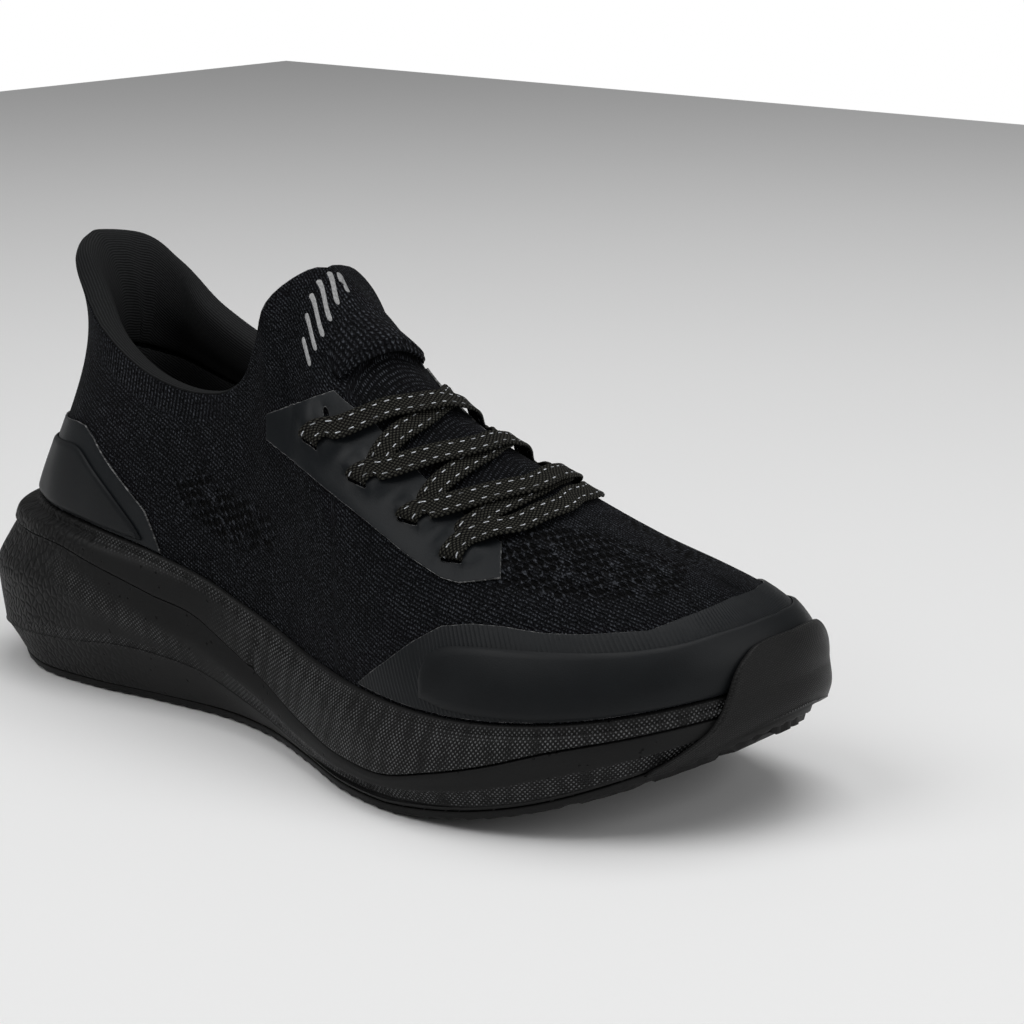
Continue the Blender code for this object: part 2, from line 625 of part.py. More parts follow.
def make_midsole_upper(finish):
    rings = [
        sole_ring(table(GROOVE_INSET, GROOVE_DEPTH), table(GROOVE_Z, GAP / 2)),
        sole_ring(table(GROOVE_INSET), table(GROOVE_Z, GROOVE_LIP)),
        sole_ring(lambda x: smooth(GROOVE_INSET, x) * 0.55 + smooth(BITE_INSET, x) * 0.3,
                  between(GROOVE_Z, BITE_Z, 0.55)),
        sole_ring(table(BITE_INSET, -1.5), table(BITE_Z, -0.8)),
        sole_ring(table(BITE_INSET), table(BITE_Z)),
        sole_ring(table(BITE_INSET, 0.02), table(BITE_Z, -CUP_DEPTH)),
    ]
    sole_solid("midsole_upper", rings, table(GROOVE_Z, GAP / 2), table(BITE_Z, -CUP_DEPTH), finish)


def make_strobel_board(finish):
    inset = table(BITE_INSET, KNIT_GAP + KNIT_THICKNESS + 2 * KNIT_GAP)
    low = table(BITE_Z, -CUP_DEPTH + GAP)
    high = table(BITE_Z, -CUP_DEPTH + GAP + BOARD_THICKNESS)
    sole_solid("strobel_board", [sole_ring(inset, low), sole_ring(inset, high)], low, high, finish)


def sockliner_inset(x):
    return smooth(BITE_INSET, x) + SOCKLINER_INSET + np.maximum(smooth(SOCKLINER_ROOM, x), 0)


def make_sockliner(finish):
    start = -CUP_DEPTH + BOARD_THICKNESS + 2 * GAP
    low = table(BITE_Z, start)
    high = table(BITE_Z, start + SOCKLINER_THICKNESS)
    sole_solid("sockliner", [sole_ring(sockliner_inset, low), sole_ring(sockliner_inset, high)], low, high,
               finish)


def sole_side(u):
    """Points and normals of the widest outline at stations that run round the toe."""
    places = {}
    for sign in (-1, 1):
        loop, out = side_of_loop(sign)
        fraction = np.linspace(0, 1, len(loop))
        point = np.stack([np.interp(np.abs(u), fraction, loop[:, k]) for k in range(2)], -1)
        normal = np.stack([np.interp(np.abs(u), fraction, out[:, k]) for k in range(2)], -1)
        places[sign] = point, unit(normal)
    outer = (u < 0)[..., None]
    point, normal = (np.where(outer, a, b) for a, b in zip(places[-1], places[1]))
    return point, normal


def toe_wall(u, h, offset=0.0):
    """The wall of the toe from the outsole (height 0) past the sole's side to the upper (height 1)."""
    u = np.asarray(u, float)
    h = np.asarray(h, float)
    offset = np.asarray(offset, float)
    xy, n = sole_side(u)
    x = xy[..., 0]
    lean = smooth([(0, 1.0), (0.25, 0.3), (0.45, 0.0), (1, 0.0)], np.clip(h / SOLE_SHARE, 0, 1))
    inset = smooth(BOTTOM_INSET, x) * lean - GAP - 0.1 - offset
    low = smooth(BOTTOM_Z, x) + BUMPER_FOOT_Z
    z = low + (smooth(BITE_Z, x) + 0.5 - low) * h / SOLE_SHARE
    side = np.concatenate([xy - n * inset[..., None], z[..., None]], -1)
    v = np.clip((h - SOLE_SHARE) / (1 - SOLE_SHARE), 0, 1) * BUMPER_TOP + 0.01
    upper = around(u, v, BUMPER_REST + offset)
    share = np.clip((h - 0.30) / 0.65, 0, 1)
    share = (share * share * (3 - 2 * share))[..., None]
    return side * (1 - share) + upper * share


def make_toe_bumper(finish):
    foot = BUMPER_FOOT[::-1] + [(-u, h) for u, h in BUMPER_FOOT[1:]]
    patch_solid("toe_bumper", toe_wall, round_toe(BUMPER_EDGE) + foot, 0.0, BUMPER_THICKNESS, finish,
                step=5.0)


# ---------------------------------------------------------------- the upper
def make_knit_upper(finish):
    """The knit: an outer and an inner skin, closed along the bite line and the rim."""
    heights = np.concatenate([[0.0], np.linspace(0, 1, KNIT_ROWS + 1)])
    last_station = len(STATIONS) - 1
    last_row = len(heights) - 1
    index = {}
    points = []
    faces = []

    def vertex(sign, i, j, level):
        """The point's number. Both sides share the toe, the heel and the ridge."""
        on_ridge = j == last_row and STATIONS[i] <= TONGUE_TOP
        if i in (0, last_station) or on_ridge:
            sign = -1
        key = (sign, i, j, level)
        if key not in index:
            point = on_side(STATIONS[i], heights[j], sign, -KNIT_THICKNESS * level)
            drop = CUP_DEPTH - GAP if j == 0 else 0.0
            index[key] = len(points)
            points.append(point - (0, 0, drop))
        return index[key]

    def add(*corners):
        faces.append(tuple(dict.fromkeys(vertex(*corner) for corner in corners)))

    for sign in (-1, 1):
        for i in range(last_station):
            for level in (0, 1):
                for j in range(last_row):
                    add((sign, i, j, level), (sign, i + 1, j, level), (sign, i + 1, j + 1, level),
                        (sign, i, j + 1, level))
            add((sign, i, 0, 0), (sign, i + 1, 0, 0), (sign, i + 1, 0, 1), (sign, i, 0, 1))
            if STATIONS[i + 1] > TONGUE_TOP:
                add((sign, i, last_row, 0), (sign, i + 1, last_row, 0), (sign, i + 1, last_row, 1),
                    (sign, i, last_row, 1))
    solid("knit_upper", points, faces, finish)


def round_toe(edge):
    """The outline of a band round the toe, from an edge that ends at the toe's middle."""
    outer = [(-u, v) for u, v in edge]
    inner = [(u, v) for u, v in reversed(edge[:-1])]
    return outer + inner


def round_heel(edge):
    """The outline of a band round the heel, on coordinates that run on past the heel."""
    near = [(u, v) for u, v in edge]
    far = [(2 - u, v) for u, v in reversed(edge[:-1])]
    return near + far


def make_toe_films(film, guard):
    low = GAP
    patch_solid("toe_cap_film", around, round_toe(TOE_FILM_TOP), low, low + FILM_THICKNESS, film, step=7.0)
    low += FILM_THICKNESS + GAP
    patch_solid("toe_guard", around, round_toe(TOE_GUARD_TOP), low, low + GUARD_THICKNESS, guard, step=7.0)


def make_heel_films(film, guard):
    low = GAP
    patch_solid("heel_film", around, round_heel(HEEL_FILM_TOP), low, low + FILM_THICKNESS, film, step=7.0)
    low += FILM_THICKNESS + GAP
    patch_solid("heel_guard", around, round_heel(HEEL_GUARD_TOP), low, low + GUARD_THICKNESS, guard,
                step=7.0)


def stations_between(start, end):
    """The knit's own stations from start to end: below 0 on the outer side, over 1 past the heel."""
    both = np.concatenate([-STATIONS[:0:-1], STATIONS, 2 - STATIONS[-2::-1]])
    return both[(both > start) & (both < end)]


def stiffener(name, start, end, rows, finish):
    """A sheet inside the knit, between two stations, with its rows' heights."""
    outer = -KNIT_THICKNESS - INNER_GAP
    inner = outer - STIFFENER_THICKNESS
    profile = [(height, outer) for height in rows] + [(height, inner) for height in reversed(rows)]
    band_solid(name, [section(u, profile) for u in stations_between(start, end)], finish)


def make_stiffeners(finish):
    stiffener("toe_puff", -0.2, 0.2, (0.04, 0.1, 0.2, 0.3, 0.4), finish)
    stiffener("heel_counter", 0.75, 1.25, (0.04, 0.1, 0.2, 0.3, 0.4), finish)


def slit_outline(centre, length, width):
    """A rounded slit in skin coordinates, its length along the stations."""
    s, v = centre
    a = length / 2 / STATION_LENGTH
    b = width / 2 / HEIGHT_LENGTH
    corners = [(-a, -b / 2), (-a * 0.85, -b), (a * 0.85, -b), (a, -b / 2), (a, b / 2), (a * 0.85, b),
               (-a * 0.85, b), (-a, b / 2)]
    return [(s + x, v + y) for x, y in corners]


def ring_outline(centre, diameter, sides=10):
    angles = np.linspace(0, 2 * np.pi, sides, endpoint=False)
    return [(centre[0] + np.cos(a) * diameter / 2 / STATION_LENGTH,
             centre[1] + np.sin(a) * diameter / 2 / HEIGHT_LENGTH) for a in angles]


def strip_place(level, along, aside):
    """Skin coordinates of a place by the strip between two slits.

    along runs from 0 at the outer slit to 1 at the inner one, aside is in millimetres.
    """
    s0, v0 = OUTER_SLITS[level]
    s1, v1 = INNER_SLITS[level]
    return s0 + (s1 - s0) * along + aside / STATION_LENGTH, v0 + (v1 - v0) * along


def strip_lift(s, v):
    """How far the eyestay stands up over the lace: on the strips, and nowhere else."""
    lift = np.zeros(len(s))
    for (s0, v0), (s1, v1) in zip(OUTER_SLITS, INNER_SLITS):
        along = (v - v0) / (v1 - v0)
        aside = np.abs(s - s0 - (s1 - s0) * along) * STATION_LENGTH
        on_strip = np.clip((0.65 - np.abs(along - 0.5)) / 0.3, 0, 1)
        lift = np.maximum(lift, STRIP_LIFT * on_strip * np.clip((STRIP_REACH - aside) / 3.0, 0, 1))
    return GAP + lift


STRIP_SEEDS = [(along, aside) for along in (0.0, 0.5, 1.0) for aside in (-STRIP_REACH, STRIP_REACH)]
STRIP_SEEDS += [(0.5, -4.6), (0.5, 0.0), (0.5, 4.6)]


def make_eyestays(finish):
    holes = [slit_outline(centre, SLIT_LENGTH, SLIT_WIDTH) for centre in OUTER_SLITS + INNER_SLITS[1:]]
    holes.append(ring_outline(EYELET, EYELET_DIAMETER))
    seeds = [strip_place(level, *seed) for level in range(4) for seed in STRIP_SEEDS]
    for name, sign in SIGN.items():

        def chart(s, v, offset, sign=sign):
            return on_side(s, v, sign, offset)

        patch_solid(f"eyestay_{name}", chart, EYESTAY, strip_lift,
                    lambda s, v: strip_lift(s, v) + FILM_THICKNESS, finish, holes=holes, step=5.0,
                    seeds=seeds)


def make_tongue_pieces(knit, jersey):
    welt = [(s, w) for s, w in SLOT_LINE] + [(s + WELT_HEIGHT, w) for s, w in reversed(SLOT_LINE)]
    patch_solid("tongue_welt", across, welt, GAP, GAP + WELT_THICKNESS, knit, step=4.0)
    low = -KNIT_THICKNESS - INNER_GAP
    patch_solid("tongue_lining", across, TONGUE_LINING, low - LINING_THICKNESS, low, jersey, step=8.0)


# ---------------------------------------------------------------- the collar
def section(u, rows):
    """Points of the collar's section at a station, from rows of (height, offset).

    A height over 1 stands for 1 and that many millimetres above the rim.
    """
    top = around(u, 1.0)
    normal = around(u, 1.0, 1.0) - top
    upward = unit(top - around(u, 0.94))
    points = []
    for height, offset in rows:
        if height > 1:
            points.append(top + upward * (height - 1) + normal * offset)
        else:
            points.append(around(u, height, offset))
    return np.array(points)


def pad_share(u):
    """The padding's thickness at a station, as a share of the full one."""
    return 1 - PAD_THINNING * np.exp(-((u - 1) / PAD_THINNING_REACH)**2)


def collar_rows(u):
    """The lining's section: over the rim, down the padded inside to the seam, and back."""
    back = -KNIT_THICKNESS - INNER_GAP
    share = pad_share(u)
    pad = back - PAD_THICKNESS * share - INNER_GAP - GAP
    face = pad - LINING_THICKNESS
    slope = 2.0 * share
    return [
        (1.4, -0.2), (2.5, -0.8), (3.0, 0.38 * pad), (2.8, 0.68 * pad), (2.2, face), (0.97, face),
        (0.9, face), (0.8, face), (0.7, face + slope), (SEAM_HEIGHT, back - LINING_THICKNESS - 1.4),
        (SEAM_HEIGHT, back - 1.4), (0.7, pad + slope), (0.8, pad), (0.9, pad), (0.97, pad), (1.5, pad),
        (1.8, 0.68 * pad), (2.0, 0.38 * pad), (1.7, -1.8), (1.4, -1.6),
    ]


def make_collar_lining(finish):
    """The lining from the rim over the pads and down to its seam."""
    stations = stations_between(COLLAR_START, 2 - COLLAR_START)
    band_solid("collar_lining", [section(u, collar_rows(u)) for u in stations], finish)


def make_quarter_lining(finish):
    """The lower lining round the heel, from the board up to the seam."""
    outer = -KNIT_THICKNESS - INNER_GAP - STIFFENER_THICKNESS - INNER_GAP
    inner = outer - LINING_THICKNESS
    rows = (0.04, 0.1, 0.2, 0.3, 0.4, 0.5, SEAM_HEIGHT - 0.02)
    profile = [(height, outer) for height in rows] + [(height, inner) for height in reversed(rows)]
    stations = stations_between(COLLAR_START, 2 - COLLAR_START)
    band_solid("quarter_lining", [section(u, profile) for u in stations], finish)


def pad_rows(u):
    outer = -KNIT_THICKNESS - INNER_GAP
    share = pad_share(u)
    inner = outer - PAD_THICKNESS * share
    return [
        (1.0, outer), (0.97, inner + 0.4), (0.9, inner), (0.8, inner), (0.7, inner + 2.0 * share),
        (0.63, outer - 1.0), (0.64, outer), (0.7, outer), (0.8, outer), (0.9, outer),
    ]


def make_collar_pads(finish):
    """A foam pad on each side of the heel, between the knit and the lining."""
    for name, start, end in (("lateral", 1.02, 1.34), ("medial", 0.66, 0.98)):
        stations = stations_between(start, end)
        band_solid(f"collar_pad_{name}", [section(u, pad_rows(u)) for u in stations], finish)


# ---------------------------------------------------------------- the lace
UNDER_STRIP = GAP + LACE_THICKNESS / 2
ON_FILM = 2 * GAP + FILM_THICKNESS + LACE_THICKNESS / 2
OVER_STRIP = ON_FILM + LACE_THICKNESS + GAP
ON_TONGUE = 1.2             # rise of the lower strand where two strands cross
NEAR_SLIT = -0.36           # a strand past this height lies over a strip
TONGUE_EDGE = 0.24          # and one nearer the ridge than this lies on the tongue
# (place along a strip, aside, rise): from over the strip round its outer edge to under it.
SLIT_TURN = [
    (0.45, 0.0, OVER_STRIP), (0.14, 0.0, OVER_STRIP - 0.05),
    (0.0, 0.0, (OVER_STRIP + UNDER_STRIP) / 2),
    (0.14, 0.0, UNDER_STRIP + 0.05), (0.45, 0.0, UNDER_STRIP),
]
STRIP_EXIT = [(0.78, 0.0, UNDER_STRIP + 0.1), (1.0, 0.5, 1.3), (1.25, 1.5, ON_FILM)]


def lace_place(s, w, rise):
    """A point of the route and the direction of the lace's width there, which follows the stations."""
    width = unit(across(s - 0.02, w, rise) - across(s + 0.02, w, rise))
    return across(s, w, rise), width


def slit_places(sign, level, places):
    route = []
    for along, aside, rise in places:
        s, v = strip_place(level, along, aside)
        route.append(lace_place(s, sign * (1 - v), rise))
    return route


def strand(sign, level):
    """From the outer slit at a level to the inner slit at the next, on the other side."""
    route = []
    for s, w, share in STRANDS[level]:
        if sign < 0:
            rise = ON_FILM + (OVER_STRIP - ON_FILM) * share
        elif w < NEAR_SLIT:
            rise = OVER_STRIP
        elif abs(w) > TONGUE_EDGE:
            rise = ON_FILM
        else:
            rise = ON_TONGUE + (ON_FILM - ON_TONGUE) * abs(w) / TONGUE_EDGE
        route.append(lace_place(s, w if sign < 0 else -w, rise))
    return route


def bar():
    """The lowest strand, straight from slit to slit."""
    half = [(s, w, OVER_STRIP if w < NEAR_SLIT else ON_FILM) for s, w in BAR]
    rows = half + [(s, -w, rise) for s, w, rise in reversed(half[:-1])]
    return [lace_place(*row) for row in rows]


def lace_half(sign):
    """Half of the lace, from its end to the lowest slit. sign is the side where the end is hidden."""
    route = slit_places(sign, 0, SLIT_TURN[::-1])
    for level in range(3):
        route += strand(sign, level)
        sign = -sign
        route += slit_places(sign, level + 1, STRIP_EXIT[::-1])
        route += slit_places(sign, level + 1, SLIT_TURN[::-1])
    return route


def make_shoelace(finish):
    route = lace_half(-1) + bar()[::-1] + lace_half(1)[::-1]
    points = np.array([p for p, _ in route])
    widths = np.array([w for _, w in route])
    lengths = np.concatenate([[0], np.cumsum(np.linalg.norm(np.diff(points, axis=0), axis=1))])
    at = np.linspace(0, lengths[-1], int(lengths[-1] / LACE_STEP) + 1)
    path = smooth(list(zip(lengths, points)), at)
    width = smooth(list(zip(lengths, widths)), at)
    tangent = unit(np.gradient(path, axis=0))
    width = unit(width - tangent * (width * tangent).sum(axis=1)[:, None])
    normal = np.cross(tangent, width)
    sections = []
    for p, w, n in zip(path, width, normal):
        half = w * LACE_WIDTH / 2
        thick = n * LACE_THICKNESS / 2
        sections.append(np.array([p - half - thick, p + half - thick, p + half + thick, p - half + thick]))
    band_solid("shoelace", sections, finish)


# ---------------------------------------------------------------- the shoe
def clear_scene():
    for obj in list(bpy.data.objects):
        bpy.data.objects.remove(obj, do_unlink=True)


def main():
    clear_scene()
    rubber = material("rubber", (0.012, 0.012, 0.013), 0.55)
    foam = material("foam", (0.016, 0.016, 0.017), 0.5)
    knit = material("knit", (0.010, 0.011, 0.014), 0.9)
    jersey = material("jersey", (0.014, 0.014, 0.016), 0.85)
    film = material("film", (0.020, 0.020, 0.023), 0.42)
    guard = material("guard", (0.022, 0.022, 0.025), 0.4)
    stiff = material("stiffener", (0.35, 0.33, 0.30), 0.7)
    board = material("board", (0.45, 0.44, 0.42), 0.9)
    soft = material("soft_foam", (0.10, 0.10, 0.11), 0.9)
    braid = material("braid", (0.030, 0.030, 0.026), 0.8)

    make_outsole(rubber)
    make_midsole_lower(foam)
    make_midsole_upper(foam)
    make_toe_bumper(rubber)
    make_strobel_board(board)
    make_sockliner(soft)
    make_knit_upper(knit)
    make_tongue_pieces(knit, jersey)
    make_toe_films(film, guard)
    make_heel_films(film, guard)
    make_stiffeners(stiff)
    make_eyestays(film)
    make_collar_lining(jersey)
    make_quarter_lining(jersey)
    make_collar_pads(soft)
    make_shoelace(braid)


main()
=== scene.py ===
"""The running shoe's visual model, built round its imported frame.

The shoe is drawn in millimetres on its own axes: x runs from the heel to the toe, y towards the
inner (medial) side and z up from the floor. place() moves a drawn point to the part's own frame.
"""

import bmesh
import bpy
import numpy as np
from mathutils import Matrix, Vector
from mathutils.geometry import delaunay_2d_cdt


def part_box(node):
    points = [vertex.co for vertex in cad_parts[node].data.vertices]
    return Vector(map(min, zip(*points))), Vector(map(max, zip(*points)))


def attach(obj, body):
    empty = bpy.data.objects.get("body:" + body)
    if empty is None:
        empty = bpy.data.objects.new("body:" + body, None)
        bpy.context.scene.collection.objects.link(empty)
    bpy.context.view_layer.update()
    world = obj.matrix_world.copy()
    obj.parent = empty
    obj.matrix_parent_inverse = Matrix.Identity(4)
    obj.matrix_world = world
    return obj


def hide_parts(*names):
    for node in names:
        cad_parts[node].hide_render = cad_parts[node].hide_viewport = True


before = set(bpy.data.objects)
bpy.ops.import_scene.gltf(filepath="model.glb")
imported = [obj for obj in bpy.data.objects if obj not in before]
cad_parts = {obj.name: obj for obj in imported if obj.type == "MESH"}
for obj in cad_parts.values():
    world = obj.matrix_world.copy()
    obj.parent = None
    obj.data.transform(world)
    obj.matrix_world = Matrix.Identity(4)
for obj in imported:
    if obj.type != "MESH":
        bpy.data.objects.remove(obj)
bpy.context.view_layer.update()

# ---------------------------------------------------------------- dimensions, millimetres
MM = 0.001
WELD = 1e-6                 # points nearer than this are one, in metres
SKIN_SCALE = np.array([330.0, 75.0])    # about a side's length and the skin's height
CENTRE_X = 135.03           # middle of the shoe's length on the drawing axes
CENTRE_Y = -5.22            # middle of its width
GAP = 0.3                   # clearance that touching pieces keep

KNIT_THICKNESS = 2.0
KNIT_GAP = 0.55             # clearance between the knit and the lip of the sole
INNER_GAP = 0.5             # clearance of the pieces inside the knit
CUP_DEPTH = 3.0             # how deep the upper sits in the lip of the sole
OUTSOLE_THICKNESS = 3.0
GROOVE_DEPTH = 3.0          # the groove between the two sole foams
HALF_GROOVE_GAP = 0.15      # each foam's clearance from the plane between them
BOARD_THICKNESS = 1.2
SOCKLINER_THICKNESS = 4.5
SOCKLINER_INSET = 6.2
# Room round the sockliner's heel half, which rises as it lifts, as (x, room).
SOCKLINER_ROOM = [(-16, 7.5), (14, 7.0), (45, 4.5), (85, 0), (288, 0)]
FILM_THICKNESS = 0.6
GUARD_THICKNESS = 0.8
STIFFENER_THICKNESS = 1.1
LINING_THICKNESS = 1.0
PAD_THICKNESS = 5.0
PAD_THINNING = 0.55         # share of that which the padding loses over the middle of the heel
PAD_THINNING_REACH = 0.09   # in stations
LACE_WIDTH = 7.6
LACE_THICKNESS = 1.1
ROUND_END = 7               # points of a slit's or a bar's round end
SLIT_LENGTH = 7.6
SLIT_WIDTH = 1.5
SLIT_TILT = np.radians(12)    # the slits' toe ends lean towards the ridge
STRIP_LIFT = 1.35           # how far the strip between two slits stands up over the lace
TREAD_PITCH = 15.0          # between two cross grooves of the outsole
TREAD_WIDTH = 2.4
TREAD_DEPTH = 1.6
SCALLOP_PITCH = 6.6         # of the scallops along the outsole's edge
SCALLOP_DEPTH = 1.0
COLLAR_START = 0.64         # station where the collar's lining starts
COLLAR_STATIONS = 170
COLLAR_STEPS = 2            # points for each row of its section
COLLAR_FREE = (1.5, 9.5)    # the rows between which the simulation moves it
GUSSET = 0.955              # station of the crease inside the heel
GUSSET_DEPTH = 1.5
GUSSET_FOLD = 0.7           # how far the lining stands up beside the crease
COLLAR_SWELL = 0.0016       # how far the simulation may move the collar's padding, metres
COLLAR_CLOTH = {
    "quality": 6, "mass": 0.25, "tension_stiffness": 12, "compression_stiffness": 12,
    "bending_stiffness": 0.4, "use_pressure": True, "uniform_pressure_force": 4,
}
CLOTH_FRAMES = 20           # length of the simulation
OUTLINE_POINTS = 2000
SOLE_STATIONS = 170
KNIT_STATIONS = 150
KNIT_HEIGHTS = 56
BUMPER_THICKNESS = 1.6
BUMPER_TOP = 0.34           # the height on the skin that the bumper reaches
BUMPER_REST = 2.5           # how far outside the knit it lies there
LACE_STEP = 0.9             # length of the lace between two sections
NEAR_SLIT = -0.36           # strands past this place lie over a strip
RIB_PITCH = 1.28            # between two ribs of the knit
COURSE_PITCH = 0.95         # between two courses along a rib
RIB_TURN = 0.49             # past this station the ribs leave the ridge
RIB_SLOPE = 110.0           # and rise by this many millimetres for one station
HOLE_PITCH = 3.8            # between two open holes of a row
HOLE_ROW = 1.9              # between two rows, which are staggered
TWILL_PITCH = 1.45          # of the foam's twill
FILM_SPECULAR = 0.13
FOAM_SPECULAR = 0.12
RUBBER_ROUGHNESS = 0.5
# The films: name, grey level, roughness, blue over red, height of the ribs.
FILM_LOOKS = [
    ("film_finish", 0.0085, 0.40, 1.36, 0.0), ("toe_film_finish", 0.0088, 0.46, 1.28, 0.2),
    ("guard_finish", 0.0088, 0.42, 1.24, 0.0),
]
FLECK_PITCH = 3.75          # between two of the lace's white stitches
FLECK_ROW = 2.05            # from the lace's middle to either row of them
BRAID_PITCH = 1.25          # of the lace's braid

# ---------------------------------------------------------------- outlines, millimetres
# The widest line of the sole from above: heel, outer side, toe, inner side.
SOLE_OUTLINE = [
    (-16, -1), (-13, -20), (-3, -36.5), (17, -45.5), (45, -47.5), (75, -44), (103, -41),
    (125, -43), (148, -50), (172, -58.5), (196, -62.5), (216, -61), (238, -54), (257, -42),
    (271, -26), (280, -7), (284, 12), (281, 28), (271, 41), (253, 49), (232, 52), (206, 50),
    (178, 44), (148, 36), (118, 33), (88, 35), (60, 40), (35, 42.5), (13, 39), (-6, 27), (-14, 14),
]

# Heights of the sole's lines, as (x, z).
BITE_Z = [
    (-16, 58), (0, 57.5), (14, 57), (44, 55), (77, 50), (97, 45.5), (110, 41.5), (122, 38),
    (140, 33.5), (156, 31.5), (174, 30.8), (198, 30.5), (224, 32), (242, 34), (258, 36.5),
    (270, 39), (288, 43),
]
GROOVE_Z = [
    (-16, 48.5), (9, 48), (38, 47.5), (56, 43.5), (77, 38), (94, 34), (104, 29), (121, 22),
    (138, 16.5), (159, 13), (174, 12), (193, 12.3), (206, 15.5), (227, 21.5), (243, 27),
    (263, 32), (288, 38),
]
CREASE_Z = [
    (-16, 14), (0, 14.5), (25, 16), (45, 17.5), (60, 19), (80, 18.5), (95, 16.5), (110, 12.5),
    (125, 9), (140, 6.5), (170, 5), (205, 6.5), (224, 9), (256, 18.5), (288, 33),
]
BOTTOM_Z = [
    (-16, 13), (-6, 7), (3, 2.2), (14, 0.3), (24, 0), (26, 0), (188, 0),
    (190, 0), (204, 1.2), (224, 4.2),
    (240, 8.2), (256, 14), (272, 21), (288, 29),
]
# How far each line lies inside the widest outline, as (x, inset).
BITE_INSET = [
    (-16, 17), (-4, 16), (10, 13.5), (25, 11), (45, 9), (75, 6.5), (110, 4.5), (140, 6),
    (174, 8), (198, 8), (224, 5.5), (245, 4), (270, 3.2), (288, 3.5),
]
GROOVE_INSET = [(-16, 7), (5, 6), (25, 4), (45, 2.5), (100, 1.5), (150, 0.5), (288, 0.5)]
BOTTOM_INSET = [
    (-16, 11), (0, 8), (29, 7.5), (45, 8), (75, 8.5), (107, 7), (140, 4), (177, 2), (200, 2.5),
    (224, 3), (256, 3), (288, 4),
]

# The upper, station by station from the toe (0) to the heel (1) along the bite line:
# top point, lower handle (out, up), upper handle (out, forward, up). Up to the top of the tongue
# the top point is on the ridge and both sides share it; after it, it is on the collar's rim.
TONGUE_TOP = 0.525
OUTER_SIDE = [
    (0.00, (261, 9.0, 64.5), (3, 13), (9, 0, -1.0)),
    (0.06, (256, 8.5, 66.5), (3, 14), (12, 0, -1.0)),
    (0.13, (242, 7.0, 70.5), (3, 18), (17, 2, -1.0)),
    (0.20, (222, 4.0, 77.0), (2, 21), (21, 3, -1.5)),
    (0.27, (203, 2.0, 85.5), (1, 23), (23, 4, -1.5)),
    (0.33, (184, 1.0, 93.0), (0, 25), (23, 4, -2.0)),
    (0.39, (165, 0.0, 101.0), (0, 30), (24, 5, -1.5)),
    (0.435, (150, 0.0, 109.5), (0, 36), (26, 6, -1.0)),
    (0.47, (137, 0.0, 120.0), (0, 40), (28, 7, -3.0)),
    (0.50, (125, 0.0, 132.0), (0, 44), (28, 8, -5.0)),
    (0.525, (117, 0.0, 140.0), (0, 44), (26, 9, -8.0)),
    (0.55, (114, -13.0, 138.5), (0, 42), (16, 10, -13.0)),
    (0.575, (110.5, -22.5, 131.0), (0, 38), (9, 11, -17.0)),
    (0.60, (110.5, -26.5, 120.5), (0, 32), (6, 11, -17.0)),
    (0.63, (108, -29.5, 109.5), (0, 26), (4, 9, -17.0)),
    (0.655, (102, -30.5, 104.5), (0, 24), (4, 5, -18.0)),
    (0.69, (90, -30.5, 102.0), (0, 22), (4, 0, -18.0)),
    (0.75, (68, -30.5, 104.5), (0, 22), (4, 0, -18.0)),
    (0.82, (43, -26.0, 113.5), (0, 20), (2, 0, -19.0)),
    (0.89, (26, -19.0, 123.5), (-3, 20), (-5, 0, -22.0)),
    (0.95, (13, -11.0, 133.5), (-9, 21), (-16, 0, -25.0)),
    (1.00, (4.5, 3.0, 136.5), (-11.6, 22), (-23, 0, -26.0)),
]
# The rim's points on the inner side, where they aren't the ridge's.
INNER_RIM = {
    0.55: (113, 14, 138), 0.575: (109.5, 24, 130.5), 0.60: (109, 28, 119), 0.63: (105, 30.5, 109.5),
    0.655: (98, 32, 104.5), 0.69: (86, 33, 102), 0.75: (64, 33, 103.5), 0.82: (40, 30.5, 114),
    0.89: (24, 27, 126.5), 0.95: (12, 17.5, 135), 1.0: (4.5, 3, 136.5),
}

# Outlines on the upper, in skin coordinates: station from the toe, height from the bite line.
TOE_FILM_TOP = [
    (0.424, 0.012), (0.385, 0.122), (0.354, 0.22), (0.326, 0.297), (0.297, 0.333), (0.269, 0.35),
    (0.233, 0.355), (0.199, 0.372), (0.173, 0.395), (0.149, 0.415), (0.111, 0.53), (0.06, 0.695),
    (0.0, 0.80),
]
TOE_GUARD_TOP = [
    (0.340, 0.02), (0.344, 0.133), (0.335, 0.205), (0.315, 0.247), (0.283, 0.27), (0.247, 0.28),
    (0.205, 0.29), (0.158, 0.307), (0.121, 0.34), (0.077, 0.427), (0.0, 0.525),
]
HEEL_FILM_TOP = [
    (0.713, 0.012), (0.723, 0.107), (0.734, 0.198), (0.771, 0.33), (0.811, 0.463), (0.83, 0.49),
    (0.849, 0.475), (0.90, 0.40), (0.95, 0.36), (1.0, 0.35),
]
HEEL_GUARD_TOP = [
    (0.733, 0.02), (0.74, 0.072), (0.755, 0.138), (0.787, 0.263), (0.825, 0.37), (0.845, 0.37),
    (0.90, 0.30), (0.95, 0.26), (1.0, 0.25),
]
EYESTAY = [
    (0.5714, 0.576), (0.5716, 0.500), (0.5583, 0.4575), (0.5445, 0.4266), (0.5293, 0.406),
    (0.5135, 0.404), (0.4895, 0.4163), (0.4661, 0.4343), (0.4442, 0.4414), (0.424, 0.4446),
    (0.396, 0.446), (0.363, 0.438), (0.3355, 0.429), (0.318, 0.438), (0.299, 0.469), (0.2826, 0.499),
    (0.291, 0.613), (0.335, 0.647), (0.385, 0.693), (0.434, 0.723), (0.4564, 0.709), (0.4763, 0.6925),
    (0.4855, 0.6442), (0.4965, 0.598), (0.5029, 0.5766), (0.5109, 0.5541), (0.5211, 0.5335),
    (0.5335, 0.5277), (0.5437, 0.5341), (0.5527, 0.5425), (0.5619, 0.5567),
]
